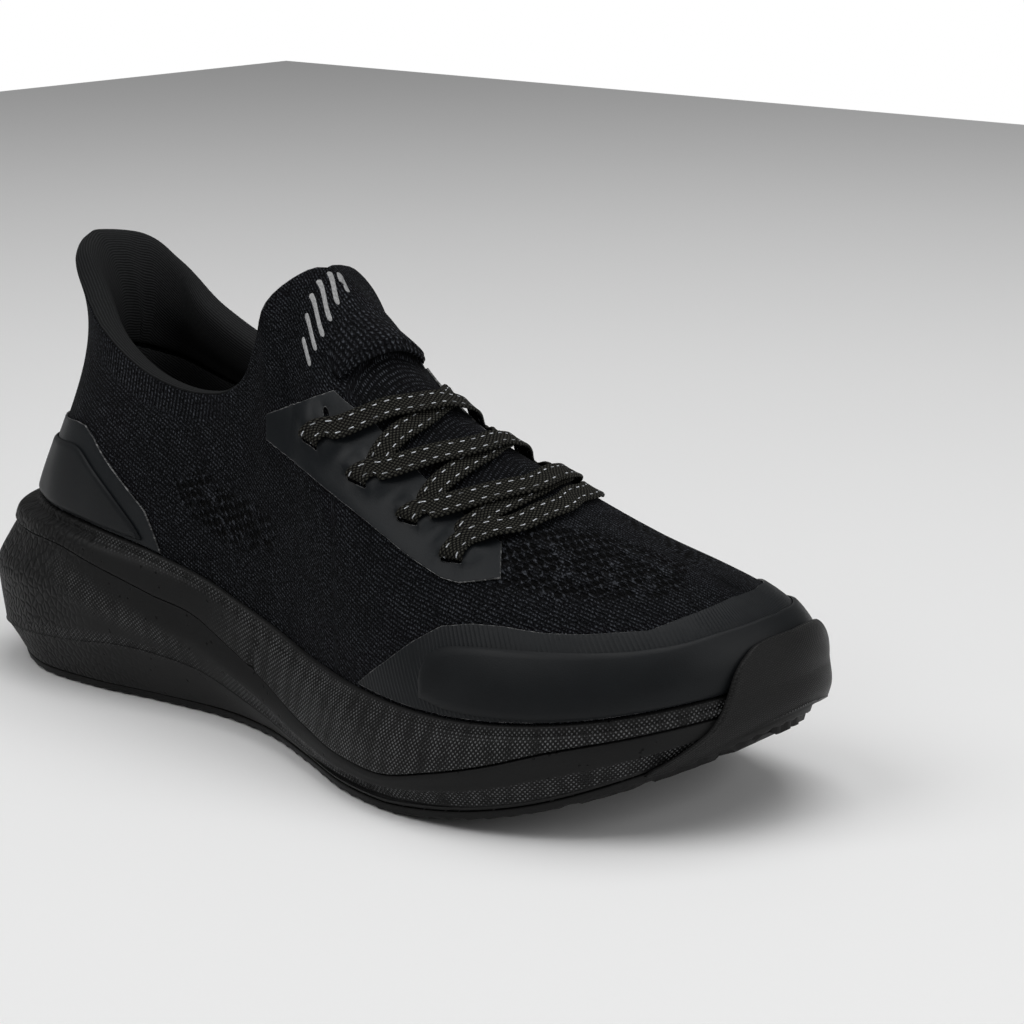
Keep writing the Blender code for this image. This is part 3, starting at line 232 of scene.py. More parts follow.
# The lace slits of either eyestay, from the ankle to the toe: the lace goes down through an outer
# slit, passes under a strip of the film and comes up through the inner slit. The strip nearest the
# ankle has no inner slit, because the lace's end stays under it.
OUTER_SLITS = [(0.4955, 0.4925), (0.4375, 0.5245), (0.3795, 0.532), (0.3295, 0.4935)]
INNER_SLITS = [(0.474, 0.595), (0.4205, 0.612), (0.364, 0.61), (0.321, 0.58)]
# The lace's strands, as (station, place across the ridge, share of the rise over the lower strand):
# from a slit on the outer side over the tongue to the next slit down on the inner side. The strands
# to the inner side mirror them.
STRANDS = [
    [(0.464, -0.393, 1.00), (0.442, -0.292, 1.00), (0.428, -0.201, 1.00), (0.416, -0.125, 1.00),
     (0.408, -0.056, 1.00), (0.404, 0.0, 1.00), (0.401, 0.067, 1.00), (0.403, 0.15, 1.00),
     (0.411, 0.24, 0.80), (0.4175, 0.315, 0.05)],
    [(0.414, -0.393, 1.00), (0.392, -0.311, 1.00), (0.371, -0.220, 1.00), (0.354, -0.143, 1.00),
     (0.343, -0.070, 1.00), (0.338, 0.0, 1.00), (0.338, 0.08, 1.00), (0.344, 0.16, 1.00),
     (0.352, 0.24, 0.80), (0.3605, 0.315, 0.05)],
    [(0.358, -0.400, 1.00), (0.335, -0.330, 1.00), (0.315, -0.257, 1.00), (0.299, -0.192, 1.00),
     (0.286, -0.129, 1.00), (0.279, -0.06, 1.00), (0.276, 0.0, 1.00), (0.279, 0.07, 1.00),
     (0.286, 0.15, 1.00), (0.296, 0.23, 1.00), (0.308, 0.30, 0.75), (0.3165, 0.36, 0.05)],
]
BAR = [(0.304, -0.376), (0.284, -0.306), (0.267, -0.210), (0.252, -0.109), (0.246, 0.0)]
EYELET = (0.479, 0.61)      # its centre, in skin coordinates
EYELET_DIAMETER = 2.4
TONGUE_EDGE_RISE = 2.5      # how far the tongue stands up behind its lower edge
THROAT_DIP = 1.6            # and the throat dips before it
# The tongue's lower edge, as (station, place across the ridge).
SLOT_LINE = [(0.476, -0.25), (0.468, -0.12), (0.4645, 0.0), (0.465, 0.09), (0.467, 0.19), (0.477, 0.27)]
# Half the outline of the toe's bumper, as (place round the toe, height on toe_wall).
BUMPER_EDGE = [
    (0.138, 0.045), (0.136, 0.085), (0.118, 0.135), (0.101, 0.217), (0.088, 0.303), (0.0785, 0.43),
    (0.0745, 0.55), (0.070, 0.72), (0.064, 0.82), (0.052, 0.92), (0.035, 0.964), (0.0145, 0.985),
    (0.0, 0.99),
]
BUMPER_FOOT = [(0.0, 0.24), (0.030, 0.20), (0.060, 0.14), (0.090, 0.065), (0.120, 0.03)]
# Where the knit is open, and where it is close: polygons in skin coordinates.
QUARTER_HOLES = [(0.708, 0.448), (0.677, 0.588), (0.639, 0.453), (0.551, 0.25), (0.569, 0.173),
                 (0.64, 0.188), (0.691, 0.292)]
VAMP_HOLES = [(0.305, 0.532), (0.284, 0.728), (0.21, 0.888), (0.094, 1.0), (0.128, 0.61),
              (0.226, 0.475), (0.29, 0.455)]
THROAT = [(0.468, 1.02), (0.468, 0.88), (0.474, 0.76), (0.456, 0.72), (0.434, 0.723), (0.385, 0.693),
          (0.335, 0.647), (0.291, 0.613), (0.285, 0.72), (0.285, 1.02)]
# The plain mark on the tongue. Each bar is (place across, half its length in stations).
PRINT_WIDTH = 90.0          # millimetres across the tongue for one unit
PRINT_STATION = 0.512
PRINT_STROKE = 2.0
PRINT_SLANT = 2.2
PRINT_BARS = [
    (-0.31, 0.006), (-0.245, 0.009), (-0.18, 0.012), (-0.115, 0.012), (-0.05, 0.009), (0.015, 0.006),
]

# The camera: place on the drawing axes, azimuth and elevation in degrees, focal length in mm.
CAMERA_PLACE = (669.6, -581.0, 280.4)
CAMERA_ANGLES = (39.6, 15.2)
CAMERA_LENS = 93.13
FLOOR_SIZE = 3.0            # metres
WORLD_STRENGTH = 0.18       # light from all round
BACKDROP_STRENGTH = 1.0     # white behind the floor, for the camera only
# Area lights: name, place, target and size in metres, power in watts.
LIGHTS = [
    ("key_light", (-0.5, -0.9, 1.3), (0, 0, 0.05), (1.0, 1.0), 9),
    ("top_light", (0.2, 0.2, 1.6), (0, 0, 0.05), (1.6, 1.2), 15),
    ("side_light", (1.4, 0.3, 0.7), (0.05, 0, 0.06), (0.7, 1.0), 6),
]


# ---------------------------------------------------------------- curves
def smooth(table, at):
    """The value at `at` of a smooth curve through a table of (key, value or point) rows."""
    keys = np.array([row[0] for row in table], float)
    values = np.array([row[1] for row in table], float)
    flat = values.ndim == 1
    values = values[:, None] if flat else values
    at = np.clip(np.asarray(at, float), keys[0], keys[-1])
    gaps = np.diff(keys)
    chords = np.diff(values, axis=0) / gaps[:, None]
    slopes = np.empty_like(values)
    slopes[0] = chords[0]
    slopes[-1] = chords[-1]
    weighted = chords[:-1] * gaps[1:, None] + chords[1:] * gaps[:-1, None]
    slopes[1:-1] = weighted / (gaps[1:] + gaps[:-1])[:, None]
    i = np.clip(np.searchsorted(keys, at, side="right") - 1, 0, len(keys) - 2)
    gap = gaps[i][..., None]
    t = (at - keys[i])[..., None] / gap
    start = (2 * t**3 - 3 * t**2 + 1) * values[i] + (t**3 - 2 * t**2 + t) * gap * slopes[i]
    end = (3 * t**2 - 2 * t**3) * values[i + 1] + (t**3 - t**2) * gap * slopes[i + 1]
    return (start + end)[..., 0] if flat else start + end


def unit(vectors):
    return vectors / np.maximum(np.linalg.norm(vectors, axis=-1, keepdims=True), 1e-9)


def path_lengths(points):
    """The distance along a path at each of its points."""
    return np.concatenate([[0], np.cumsum(np.linalg.norm(np.diff(points, axis=0), axis=1))])


def bell(x, centre, width):
    """1 at the centre, falling off smoothly to both sides."""
    return np.exp(-((x - centre) / width)**2)


def outline_loop():
    """The sole's outline as many points, with their outward normals."""
    points = np.array(SOLE_OUTLINE, float)
    wrapped = np.vstack([points[-3:], points, points[:4]])
    keys = path_lengths(wrapped)
    at = np.linspace(keys[3], keys[3 + len(points)], OUTLINE_POINTS, endpoint=False)
    loop = smooth(list(zip(keys, wrapped)), at)
    along = np.roll(loop, -1, axis=0) - np.roll(loop, 1, axis=0)
    return loop, unit(np.column_stack([along[:, 1], -along[:, 0]]))


LOOP, LOOP_NORMALS = outline_loop()
TOE_INDEX = int(np.argmax(LOOP[:, 0]))
HEEL_INDEX = int(np.argmin(LOOP[:, 0]))


def side_of_loop(sign):
    """Outline points and normals of one side, from the toe to the heel."""
    count = len(LOOP)
    if sign < 0:
        steps = (TOE_INDEX - HEEL_INDEX) % count
        index = (TOE_INDEX - np.arange(steps + 1)) % count
    else:
        steps = (HEEL_INDEX - TOE_INDEX) % count
        index = (TOE_INDEX + np.arange(steps + 1)) % count
    return LOOP[index], LOOP_NORMALS[index]


def bite_line(sign):
    """(fraction of the length from the toe, points, normals) where one side's knit starts."""
    points, normals = side_of_loop(sign)
    x = points[:, 0]
    base = points - normals * (smooth(BITE_INSET, x) + KNIT_GAP)[:, None]
    lengths = np.linalg.norm(np.diff(base, axis=0), axis=1)
    fraction = np.concatenate([[0], np.cumsum(lengths)])
    fraction /= fraction[-1]
    return fraction, np.column_stack([base, smooth(BITE_Z, x)]), normals


BITE = {sign: bite_line(sign) for sign in (-1, 1)}

# ---------------------------------------------------------------- the skin of the upper
def rim_point(row, sign):
    return row[1] if sign < 0 else INNER_RIM.get(row[0], row[1])


def top_row(sign):
    """The top line of a side, with one row beyond the heel that makes it round there."""
    last = OUTER_SIDE[-2]
    rows = [(row[0], rim_point(row, sign)) for row in OUTER_SIDE]
    return rows + [(2 - last[0], rim_point(last, -sign))]


def handles(column):
    last = OUTER_SIDE[-2]
    return [(row[0], row[column]) for row in OUTER_SIDE] + [(2 - last[0], last[column])]


def skin(s, v, sign):
    """A point on the outside of the knit: s from toe to heel, v from bite line to top line."""
    fraction, base_points, base_normals = BITE[sign]
    base = np.stack([np.interp(s, fraction, base_points[:, k]) for k in range(3)], -1)
    out = np.stack([np.interp(s, fraction, base_normals[:, k]) for k in range(2)], -1)
    out = unit(np.concatenate([out, np.zeros_like(out[..., :1])], -1))
    up = np.array([0.0, 0.0, 1.0])
    forward = np.array([1.0, 0.0, 0.0])
    top = smooth(top_row(sign), s)
    low = smooth(handles(2), s)
    high = smooth(handles(3), s)
    first = base + out * low[..., 0:1] + up * low[..., 1:2]
    second = top + out * high[..., 0:1] + forward * high[..., 1:2] + up * high[..., 2:3]
    v = np.asarray(v, float)[..., None]
    return (1 - v)**3 * base + 3 * (1 - v)**2 * v * first + 3 * (1 - v) * v**2 * second + v**3 * top


NORMAL_STATIONS = 200
NORMAL_ROWS = 40


def skin_normals():
    """Outward normals of the skin on a fine grid of each side, smooth over the ridge, toe and heel."""
    s, v = np.meshgrid(np.linspace(0, 1, NORMAL_STATIONS + 1), np.linspace(0, 1, NORMAL_ROWS + 1),
                       indexing="ij")
    shape = s.shape
    own = np.arange(s.size).reshape(shape)
    shared = {-1: own, 1: own + s.size}
    ridge = s[:, -1] <= TONGUE_TOP
    shared[1] = shared[1].copy()
    shared[1][ridge, -1] = own[ridge, -1]
    shared[1][0] = own[0]
    shared[1][-1] = own[-1]
    total = np.zeros((2 * s.size, 3))
    for sign in (-1, 1):
        points = skin(s, v, sign)
        across = points[1:, 1:] - points[:-1, :-1]
        other = points[:-1, 1:] - points[1:, :-1]
        face = np.cross(across, other) * -sign
        for rows in (slice(None, -1), slice(1, None)):
            for columns in (slice(None, -1), slice(1, None)):
                np.add.at(total, shared[sign][rows, columns].ravel(), face.reshape(-1, 3))
    outward = total[shared[-1][100, 10]][1] < 0
    total = total if outward else -total
    return {sign: unit(total[shared[sign]]) for sign in (-1, 1)}


NORMALS = skin_normals()


def skin_normal(s, v, sign):
    grid = NORMALS[sign]
    a = np.clip(s, 0, 1) * NORMAL_STATIONS
    b = np.clip(v, 0, 1) * NORMAL_ROWS
    i = np.clip(a.astype(int), 0, NORMAL_STATIONS - 1)
    j = np.clip(b.astype(int), 0, NORMAL_ROWS - 1)
    a = (a - i)[..., None]
    b = (b - j)[..., None]
    near = grid[i, j] * (1 - a) + grid[i + 1, j] * a
    far = grid[i, j + 1] * (1 - a) + grid[i + 1, j + 1] * a
    return unit(near * (1 - b) + far * b)


def on_side(s, v, sign, offset=0.0):
    """A point `offset` outside the knit, on one side."""
    s = np.asarray(s, float)
    v = np.asarray(v, float)
    offset = np.asarray(offset, float)[..., None]
    return skin(s, v, sign) + skin_normal(s, v, sign) * offset


def around(u, v, offset=0.0):
    """The same, with u running round the toe: negative on the outer side, past 1 beyond the heel."""
    u = np.asarray(u, float)
    u = np.where(u > 1, u - 2, np.where(u < -1, u + 2, u))
    v = np.asarray(v, float)
    outer = on_side(np.abs(u), v, -1, offset)
    inner = on_side(np.abs(u), v, 1, offset)
    return np.where((u < 0)[..., None], outer, inner)


def across(s, w, offset=0.0):
    """The same, over the ridge: w runs from -1 at the outer bite line through 0 to 1."""
    s = np.asarray(s, float)
    w = np.asarray(w, float)
    outer = on_side(s, 1 + np.minimum(w, 0), -1, offset)
    inner = on_side(s, 1 - np.maximum(w, 0), 1, offset)
    return np.where((w < 0)[..., None], outer, inner)


# ---------------------------------------------------------------- solids
def place(points):
    return (np.asarray(points, float) - (CENTRE_X, CENTRE_Y, 0)) * MM

def inside(points, polygon):
    """Which points lie inside a polygon."""
    x, y = points[:, 0], points[:, 1]
    found = np.zeros(len(points), bool)
    for (x1, y1), (x2, y2) in zip(polygon, np.roll(polygon, -1, axis=0)):
        crosses = (y1 > y) != (y2 > y)
        slope = (x2 - x1) / (y2 - y1) if y2 != y1 else 0.0
        found ^= crosses & (x < x1 + (y - y1) * slope)
    return found


def divided(polygon, step):
    """The polygon with its long edges cut into steps."""
    result = []
    for start, end in zip(polygon, np.roll(polygon, -1, axis=0)):
        pieces = max(1, int(np.ceil(np.linalg.norm(end - start) / step)))
        result.extend(start + (end - start) * k / pieces for k in range(pieces))
    return np.array(result)


def filled(loops, step):
    """Triangles inside the first loop and outside the others, with points about `step` apart.

    Returns the points, the triangles and the number of each point of the loops.
    """
    low = loops[0].min(axis=0)
    high = loops[0].max(axis=0)
    grid = np.array([(x, y) for x in np.arange(low[0] + step / 2, high[0], step)
                     for y in np.arange(low[1] + step / 2, high[1], step)])
    edge = np.vstack(loops)
    keep = inside(grid, loops[0])
    for hole in loops[1:]:
        keep &= ~inside(grid, hole)
    keep &= np.linalg.norm(grid[:, None] - edge[None], axis=2).min(axis=1) > 0.45 * step
    points = np.vstack([edge, grid[keep]])
    edges = []
    first = 0
    for loop in loops:
        edges += [(first + k, first + (k + 1) % len(loop)) for k in range(len(loop))]
        first += len(loop)
    found = delaunay_2d_cdt([Vector(p) for p in points], edges, [], 0, 1e-6)
    made = np.array([tuple(p) for p in found[0]])
    triangles = np.array([tuple(f) for f in found[2]])
    middles = made[triangles].mean(axis=1)
    keep = inside(middles, loops[0])
    for hole in loops[1:]:
        keep &= ~inside(middles, hole)
    # The triangulation numbers its points anew, and says which of the given points each one is.
    given = np.full(len(points), -1)
    for number, sources in enumerate(found[3]):
        given[list(sources)] = number
    return made, triangles[keep], given[:len(edge)]


# ---------------------------------------------------------------- making pieces
def piece(name, points, faces, finishes, slot, body="shoe", stands_for=(), uv=None, zones=None,
          finish_of=None, crisp=None, weld=False):
    """A mesh piece in the shoe's frame.

    uv has one place for each point or each face corner, in millimetres. zones has one colour for
    each point, which the finishes read. finish_of numbers the finish of each face.
    """
    mesh = bpy.data.meshes.new(name)
    mesh.from_pydata(place(points).tolist(), [], [tuple(map(int, face)) for face in faces])
    corners = np.empty(len(mesh.loops), np.int32)
    mesh.loops.foreach_get("vertex_index", corners)
    if uv is not None:
        uv = np.asarray(uv, float)
        if len(uv) != len(corners):
            uv = uv[corners]
        mesh.uv_layers.new(name="weave").data.foreach_set("uv", uv.ravel())
    if zones is not None:
        colours = mesh.color_attributes.new("zones", "FLOAT_COLOR", "POINT")
        whole = np.ones((len(mesh.vertices), 4))
        whole[:, :3] = zones
        colours.data.foreach_set("color", whole.ravel())
    for finish in finishes:
        mesh.materials.append(finish)
    if finish_of is not None:
        mesh.polygons.foreach_set("material_index", np.asarray(finish_of, np.int32))
    edit = bmesh.new()
    edit.from_mesh(mesh)
    if weld:
        bmesh.ops.remove_doubles(edit, verts=edit.verts, dist=WELD)
    bmesh.ops.recalc_face_normals(edit, faces=edit.faces)
    if edit.calc_volume(signed=True) < 0:
        bmesh.ops.reverse_faces(edit, faces=edit.faces)
    edit.to_mesh(mesh)
    edit.free()
    mesh.shade_smooth()
    if crisp is not None:
        mesh.set_sharp_from_angle(angle=np.radians(crisp))
    obj = bpy.data.objects.new(name, mesh)
    bpy.context.scene.collection.objects.link(obj)
    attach(obj, body)
    if stands_for:
        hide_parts(*stands_for)
    return obj


def grid_faces(columns, rows, first=0, wrap=False):
    """Quads over a grid of points, counted row by row within each column."""
    faces = []
    for i in range(columns - 1):
        for j in range(rows if wrap else rows - 1):
            k = (j + 1) % rows
            low = first + i * rows
            faces.append((low + j, low + rows + j, low + rows + k, low + k))
    return faces


def end_caps(total, count):
    """The first and the last section of a tube of `total` points as faces, `count` points each."""
    return [tuple(range(count)), tuple(range(total - 1, total - count - 1, -1))]


def ramp(value, start, end):
    """0 before start and 1 after end, smooth between."""
    t = np.clip((np.asarray(value, float) - start) / (end - start), 0, 1)
    return t * t * (3 - 2 * t)


def depth_inside(s, v, polygon):
    """How deep places lie inside a polygon in skin coordinates, in millimetres."""
    places = np.column_stack([np.ravel(s), np.ravel(v)]) * SKIN_SCALE
    corners = np.array(polygon, float) * SKIN_SCALE
    nearest = np.full(len(places), np.inf)
    for start, end in zip(corners, np.roll(corners, -1, axis=0)):
        along = end - start
        share = np.clip((places - start) @ along / (along @ along), 0, 1)
        away = np.linalg.norm(places - start - share[:, None] * along, axis=1)
        nearest = np.minimum(nearest, away)
    return np.where(inside(places, corners), nearest, -nearest).reshape(np.shape(s))


def inset_loop(loop, distance):
    """A closed loop in millimetres, moved inward."""
    ahead = unit(np.roll(loop, -1, axis=0) - loop)
    behind = unit(loop - np.roll(loop, 1, axis=0))
    along = unit(ahead + behind)
    inward = np.column_stack([-along[:, 1], along[:, 0]])
    x, y = loop[:, 0], loop[:, 1]
    turning = (x * np.roll(y, -1) - np.roll(x, -1) * y).sum()
    return loop + inward * distance * (1 if turning > 0 else -1)


def film_piece(name, chart, outline, profile, finishes, slot, holes=(), step=2.2, **more):
    """A thin moulded sheet with a shaped edge.

    profile has rows of (inset from the edge, offset) from its underside to its top. An offset may
    be a function of the skin's coordinates.
    """
    loops = [divided(np.array(loop, float) * SKIN_SCALE, step) for loop in (outline, *holes)]
    inset = profile[-1][0]
    inner = [inset_loop(loop, inset if k == 0 else -inset) for k, loop in enumerate(loops)]
    flat, triangles, rim = filled(inner, step)
    flat = flat / SKIN_SCALE

    def lifted(places, offset):
        value = offset(places[:, 0], places[:, 1]) if callable(offset) else offset
        return chart(places[:, 0], places[:, 1], np.broadcast_to(value, len(places)))

    low, high = profile[0][1], profile[-1][1]
    points = [lifted(flat, low), lifted(flat, high)]
    places = [flat, flat]
    count = len(flat)
    faces = [tuple(t) for t in triangles] + [tuple(t[::-1] + count) for t in triangles]
    finish_of = [0] * len(faces)
    first = 2 * count
    start = 0
    for k, loop in enumerate(loops):
        size = len(loop)
        rings = [rim[start:start + size]]
        for inset, offset in profile[1:-1]:
            ring = inset_loop(loop, inset if k == 0 else -inset) / SKIN_SCALE
            points.append(lifted(ring, offset))
            places.append(ring)
            rings.append(first + np.arange(size))
            first += size
        rings.append(count + rim[start:start + size])
        for level, (a, b) in enumerate(zip(rings, rings[1:])):
            for i in range(size):
                j = (i + 1) % size
                faces.append((a[i], a[j], b[j], b[i]))
                finish_of.append(min(len(finishes) - 1, 0 if level == len(rings) - 2 else 1))
        start += size
    places = np.vstack(places)
    return piece(name, np.vstack(points), faces, finishes, slot, uv=places * SKIN_SCALE,
                 finish_of=finish_of, crisp=45, **more)


# ---------------------------------------------------------------- finishes
class Finish:
    """A material with a few calls that add nodes and return their outputs."""

    def __init__(self, name, colour, roughness, specular=0.5, sheen=0.0):
        self.material = bpy.data.materials.new(name)
        self.material.use_nodes = True
        self.tree = self.material.node_tree
        self.shader = self.tree.nodes["Principled BSDF"]
        self.shader.inputs["Base Color"].default_value = (*colour, 1)
        self.shader.inputs["Roughness"].default_value = roughness
        self.shader.inputs["Specular IOR Level"].default_value = specular
        self.shader.inputs["Sheen Weight"].default_value = sheen

    def add(self, kind, inputs=(), output=0, **settings):
        node = self.tree.nodes.new(kind)
        for key, value in settings.items():
            setattr(node, key, value)
        for key, value in dict(inputs).items():
            self.set(node.inputs[key], value)
        return node.outputs[output]

    def set(self, socket, value):
        if isinstance(value, bpy.types.NodeSocket):
            self.tree.links.new(value, socket)
        else:
            socket.default_value = value

    def math(self, operation, *values, clamp=False):
        return self.add("ShaderNodeMath", enumerate(values), operation=operation, use_clamp=clamp)

    def plus(self, first, second):
        return self.math("ADD", first, second)

    def minus(self, first, second):
        return self.math("SUBTRACT", first, second)

    def times(self, first, second, clamp=False):
        return self.math("MULTIPLY", first, second, clamp=clamp)

    def over(self, first, second):
        return self.math("DIVIDE", first, second)

    def power(self, base, exponent):
        return self.math("POWER", base, exponent)

    def madd(self, first, second, third, clamp=False):
        """first * second + third"""
        return self.math("MULTIPLY_ADD", first, second, third, clamp=clamp)

    def inverse(self, value):
        """1 - value"""
        return self.minus(1.0, value)

    def weave(self):
        """The two coordinates of the piece's weave, in millimetres."""
        uv = self.add("ShaderNodeUVMap", uv_map="weave")
        parts = self.tree.nodes.new("ShaderNodeSeparateXYZ")
        self.tree.links.new(uv, parts.inputs[0])
        return parts.outputs[0], parts.outputs[1]

    def zone(self):
        """The three zones painted on the piece."""
        colour = self.add("ShaderNodeVertexColor", layer_name="zones")
        parts = self.tree.nodes.new("ShaderNodeSeparateColor")
        self.tree.links.new(colour, parts.inputs[0])
        return parts.outputs[0], parts.outputs[1], parts.outputs[2]

    def vector(self, x, y):
        return self.add("ShaderNodeCombineXYZ", {0: x, 1: y})

    def noise(self, where, size, detail=2.0, roughness=0.5):
        """Noise from 0 to 1 with features about `size` units across."""
        return self.add("ShaderNodeTexNoise", {"Vector": where, "Scale": 1 / size, "Detail": detail,
                                               "Roughness": roughness})

    def cells(self, where, size):
        """The distance from the middle of the nearest cell, about `size` units across."""
        return self.add("ShaderNodeTexVoronoi", {"Vector": where, "Scale": 1 / size}, "Distance")

    def borders(self, where):
        """The distance from the borders between cells of about one unit."""
        return self.add("ShaderNodeTexVoronoi", {"Vector": where, "Scale": 1.0},
                        feature="DISTANCE_TO_EDGE", voronoi_dimensions="2D")

    def wave(self, x, pitch):
        """A sine wave from 0 to 1 along x."""
        turn = self.times(x, 2 * np.pi / pitch)
        return self.madd(self.math("SINE", turn), 0.5, 0.5)

    def step(self, value, start, end):
        return self.add("ShaderNodeMapRange", {"Value": value, "From Min": start, "From Max": end},
                        interpolation_type="SMOOTHSTEP")

    def mix(self, share, first, second):
        return self.add("ShaderNodeMix", {0: share, 2: first, 3: second}, data_type="FLOAT")

    def blend(self, share, first, second):
        return self.add("ShaderNodeMix", {0: share, 6: first, 7: second}, 2, data_type="RGBA")

    def object_space(self):
        """Where a point is on its object, in metres."""
        return self.add("ShaderNodeTexCoord", output=3)

    def finish(self, colour=None, roughness=None, height=None, depth=1.0):
        """Joins colour, roughness and a height in millimetres to the shader."""
        if colour is not None:
            self.set(self.shader.inputs["Base Color"], colour)
        if roughness is not None:
            self.set(self.shader.inputs["Roughness"], roughness)
        if height is not None:
            bump = self.add("ShaderNodeBump", {"Height": height, "Distance": MM * depth, "Strength": 1.0})
            self.set(self.shader.inputs["Normal"], bump)
        return self.material


# ---------------------------------------------------------------- the sole
def sole_places():
    """Outline points, normals and distances along either side, toe to heel."""
    found = {}
    for sign in (-1, 1):
        points, normals = side_of_loop(sign)
        lengths = path_lengths(points)
        at = np.linspace(0, lengths[-1], SOLE_STATIONS + 1)
        xy = np.stack([np.interp(at, lengths, points[:, k]) for k in range(2)], -1)
        n = unit(np.stack([np.interp(at, lengths, normals[:, k]) for k in range(2)], -1))
        found[sign] = (xy, n, at)
    return found


SOLE_SIDES = sole_places()


def sole_wall(controls, steps, sign):
    """A side's wall through control rows of (inset, height), with `steps` rows between two of them.

    Returns points (stations, rows, 3), and the rows' places along the controls.
    """
    xy, n, _ = SOLE_SIDES[sign]
    x = xy[:, 0]
    values = [(k, np.concatenate([inset(x), height(x)])) for k, (inset, height) in enumerate(controls)]
    at = np.linspace(0, len(controls) - 1, (len(controls) - 1) * steps + 1)
    rows = smooth(values, at)
    inset, height = rows[:, :len(x)].T, rows[:, len(x):].T
    flat = xy[:, None, :] - n[:, None, :] * inset[..., None]
    return np.concatenate([flat, height[..., None]], -1), at


def sole_piece(name, controls, steps, low, high, finishes, slot, zones, shift=None, columns=14, **more):
    """A closed piece of the sole: two walls, an underside and a top side.

    zones and shift are functions of (x, z, distance along the side, row's place, sign).
    """
    points, faces, uv, colours, finish_of = [], [], [], [], []
    first = 0
    edges = {}
    for sign in (-1, 1):
        wall, at = sole_wall(controls, steps, sign)
        _, n, along = SOLE_SIDES[sign]
        along = np.broadcast_to(along[:, None], wall.shape[:2])
        place_of_row = np.broadcast_to(at, wall.shape[:2])
        if shift is not None:
            out = shift(wall[..., 0], wall[..., 2], along, place_of_row, sign)
            wall = wall.copy()
            wall[..., :2] += n[:, None, :] * out[..., None]
        points.append(wall.reshape(-1, 3))
        below = smooth(BITE_Z, wall[..., 0]) - wall[..., 2]
        uv.append(np.stack([along * sign, below], -1).reshape(-1, 2))
        colours.append(zones(wall[..., 0], wall[..., 2], along, place_of_row, sign).reshape(-1, 3))
        made = grid_faces(len(wall), len(at), first)
        faces += made
        finish_of += [0] * len(made)
        edges[sign] = wall
        first += wall.shape[0] * wall.shape[1]
    share = np.linspace(0, 1, columns + 1)[None, :, None]
    for row, height in ((0, low), (-1, high)):
        side = edges[-1][:, row][:, None, :]
        other = edges[1][:, row][:, None, :]
        # The two sides' stations are matched by how far they lie along the shoe.
        cap = side * (1 - share) + other * share
        middle = (share[..., 0] > 0) & (share[..., 0] < 1)
        cap[..., 2] = np.where(middle, height(cap[..., 0], cap[..., 1]), cap[..., 2])
        cap[0] = cap[0, 0]
        cap[-1] = cap[-1, 0]
        points.append(cap.reshape(-1, 3))
        uv.append(cap[..., :2].reshape(-1, 2))
        colours.append(np.zeros((cap.shape[0] * cap.shape[1], 3)))
        made = grid_faces(cap.shape[0], cap.shape[1], first)
        faces += made
        finish_of += [len(finishes) - 1] * len(made)
        first += cap.shape[0] * cap.shape[1]
    return piece(name, np.vstack(points), faces, finishes, slot, uv=np.vstack(uv),
                 zones=np.vstack(colours), finish_of=finish_of, weld=True, crisp=55, **more)


def table(rows, shift=0.0):
    return lambda x: smooth(rows, x) + shift


def between(first, second, share):
    return lambda x: smooth(first, x) * (1 - share) + smooth(second, x) * share


def groove_inset(depth):
    """The groove between the foams: a bare crease at the heel, open at the forefoot."""
    return lambda x: smooth(GROOVE_INSET, x) + depth * (0.35 + 0.65 * ramp(x, 85, 125))


def upper_foam_zones(x, z, along, row, sign):
    """Zones of the upper foam: glossy twill at the forefoot and under the lip, pebbles at the heel."""
    below = smooth(BITE_Z, x) - z
    band = ramp(x, 96, 132) * ramp(row, 1.2, 1.6)
    lip = 0.9 * ramp(x, 35, 65) * bell(below, 1.9, 1.5)
    twill = np.maximum(band * (1 - ramp(row, 4.2, 4.8)), lip * (1 - ramp(row, 5.0, 5.5)))
    ribs = (1 - ramp(x, 25, 60)) * ramp(row, 0.5, 1.0)
    return np.stack([twill, ribs, 0 * x], -1)


def upper_foam_shift(x, z, along, row, sign):
    """A fine line below the lip, and a slot moulded in the side."""
    below = smooth(BITE_Z, x) - z
    line = -0.45 * bell(below, 2.6, 0.5) * ramp(row, 2, 3) * (1 - ramp(row, 5.0, 5.6))
    slot = np.zeros_like(x)
    if sign < 0:
        inside_slot = np.exp(-((x - 121 + (below - 8) * 0.25) / 0.9)**4)
        slot = -1.1 * inside_slot * ramp(row, 0.8, 1.3) * (1 - ramp(row, 3.0, 3.6))
    return line + slot


def make_upper_foam(foam, plain):
    controls = [
        (groove_inset(GROOVE_DEPTH), table(GROOVE_Z, HALF_GROOVE_GAP)),
        (groove_inset(0.7), table(GROOVE_Z, 0.2)),
        (groove_inset(0.0), table(GROOVE_Z, 1.2)),
        (lambda x: smooth(GROOVE_INSET, x) * 0.55 + smooth(BITE_INSET, x) * 0.3,
         between(GROOVE_Z, BITE_Z, 0.55)),
        (table(BITE_INSET, -1.9), table(BITE_Z, -2.4)),
        (table(BITE_INSET, -1.1), table(BITE_Z, -0.5)),
        (table(BITE_INSET, -0.2), table(BITE_Z, 0.0)),
        (table(BITE_INSET, 0.4), table(BITE_Z, -0.3)),
        (table(BITE_INSET, 0.4), table(BITE_Z, -CUP_DEPTH)),
    ]
    sole_piece("midsole_upper_foam", controls, 6, lambda x, y: smooth(GROOVE_Z, x) + HALF_GROOVE_GAP,
               lambda x, y: smooth(BITE_Z, x) - CUP_DEPTH, [foam, plain], "foam", upper_foam_zones,
               upper_foam_shift, stands_for=["midsole_upper"])


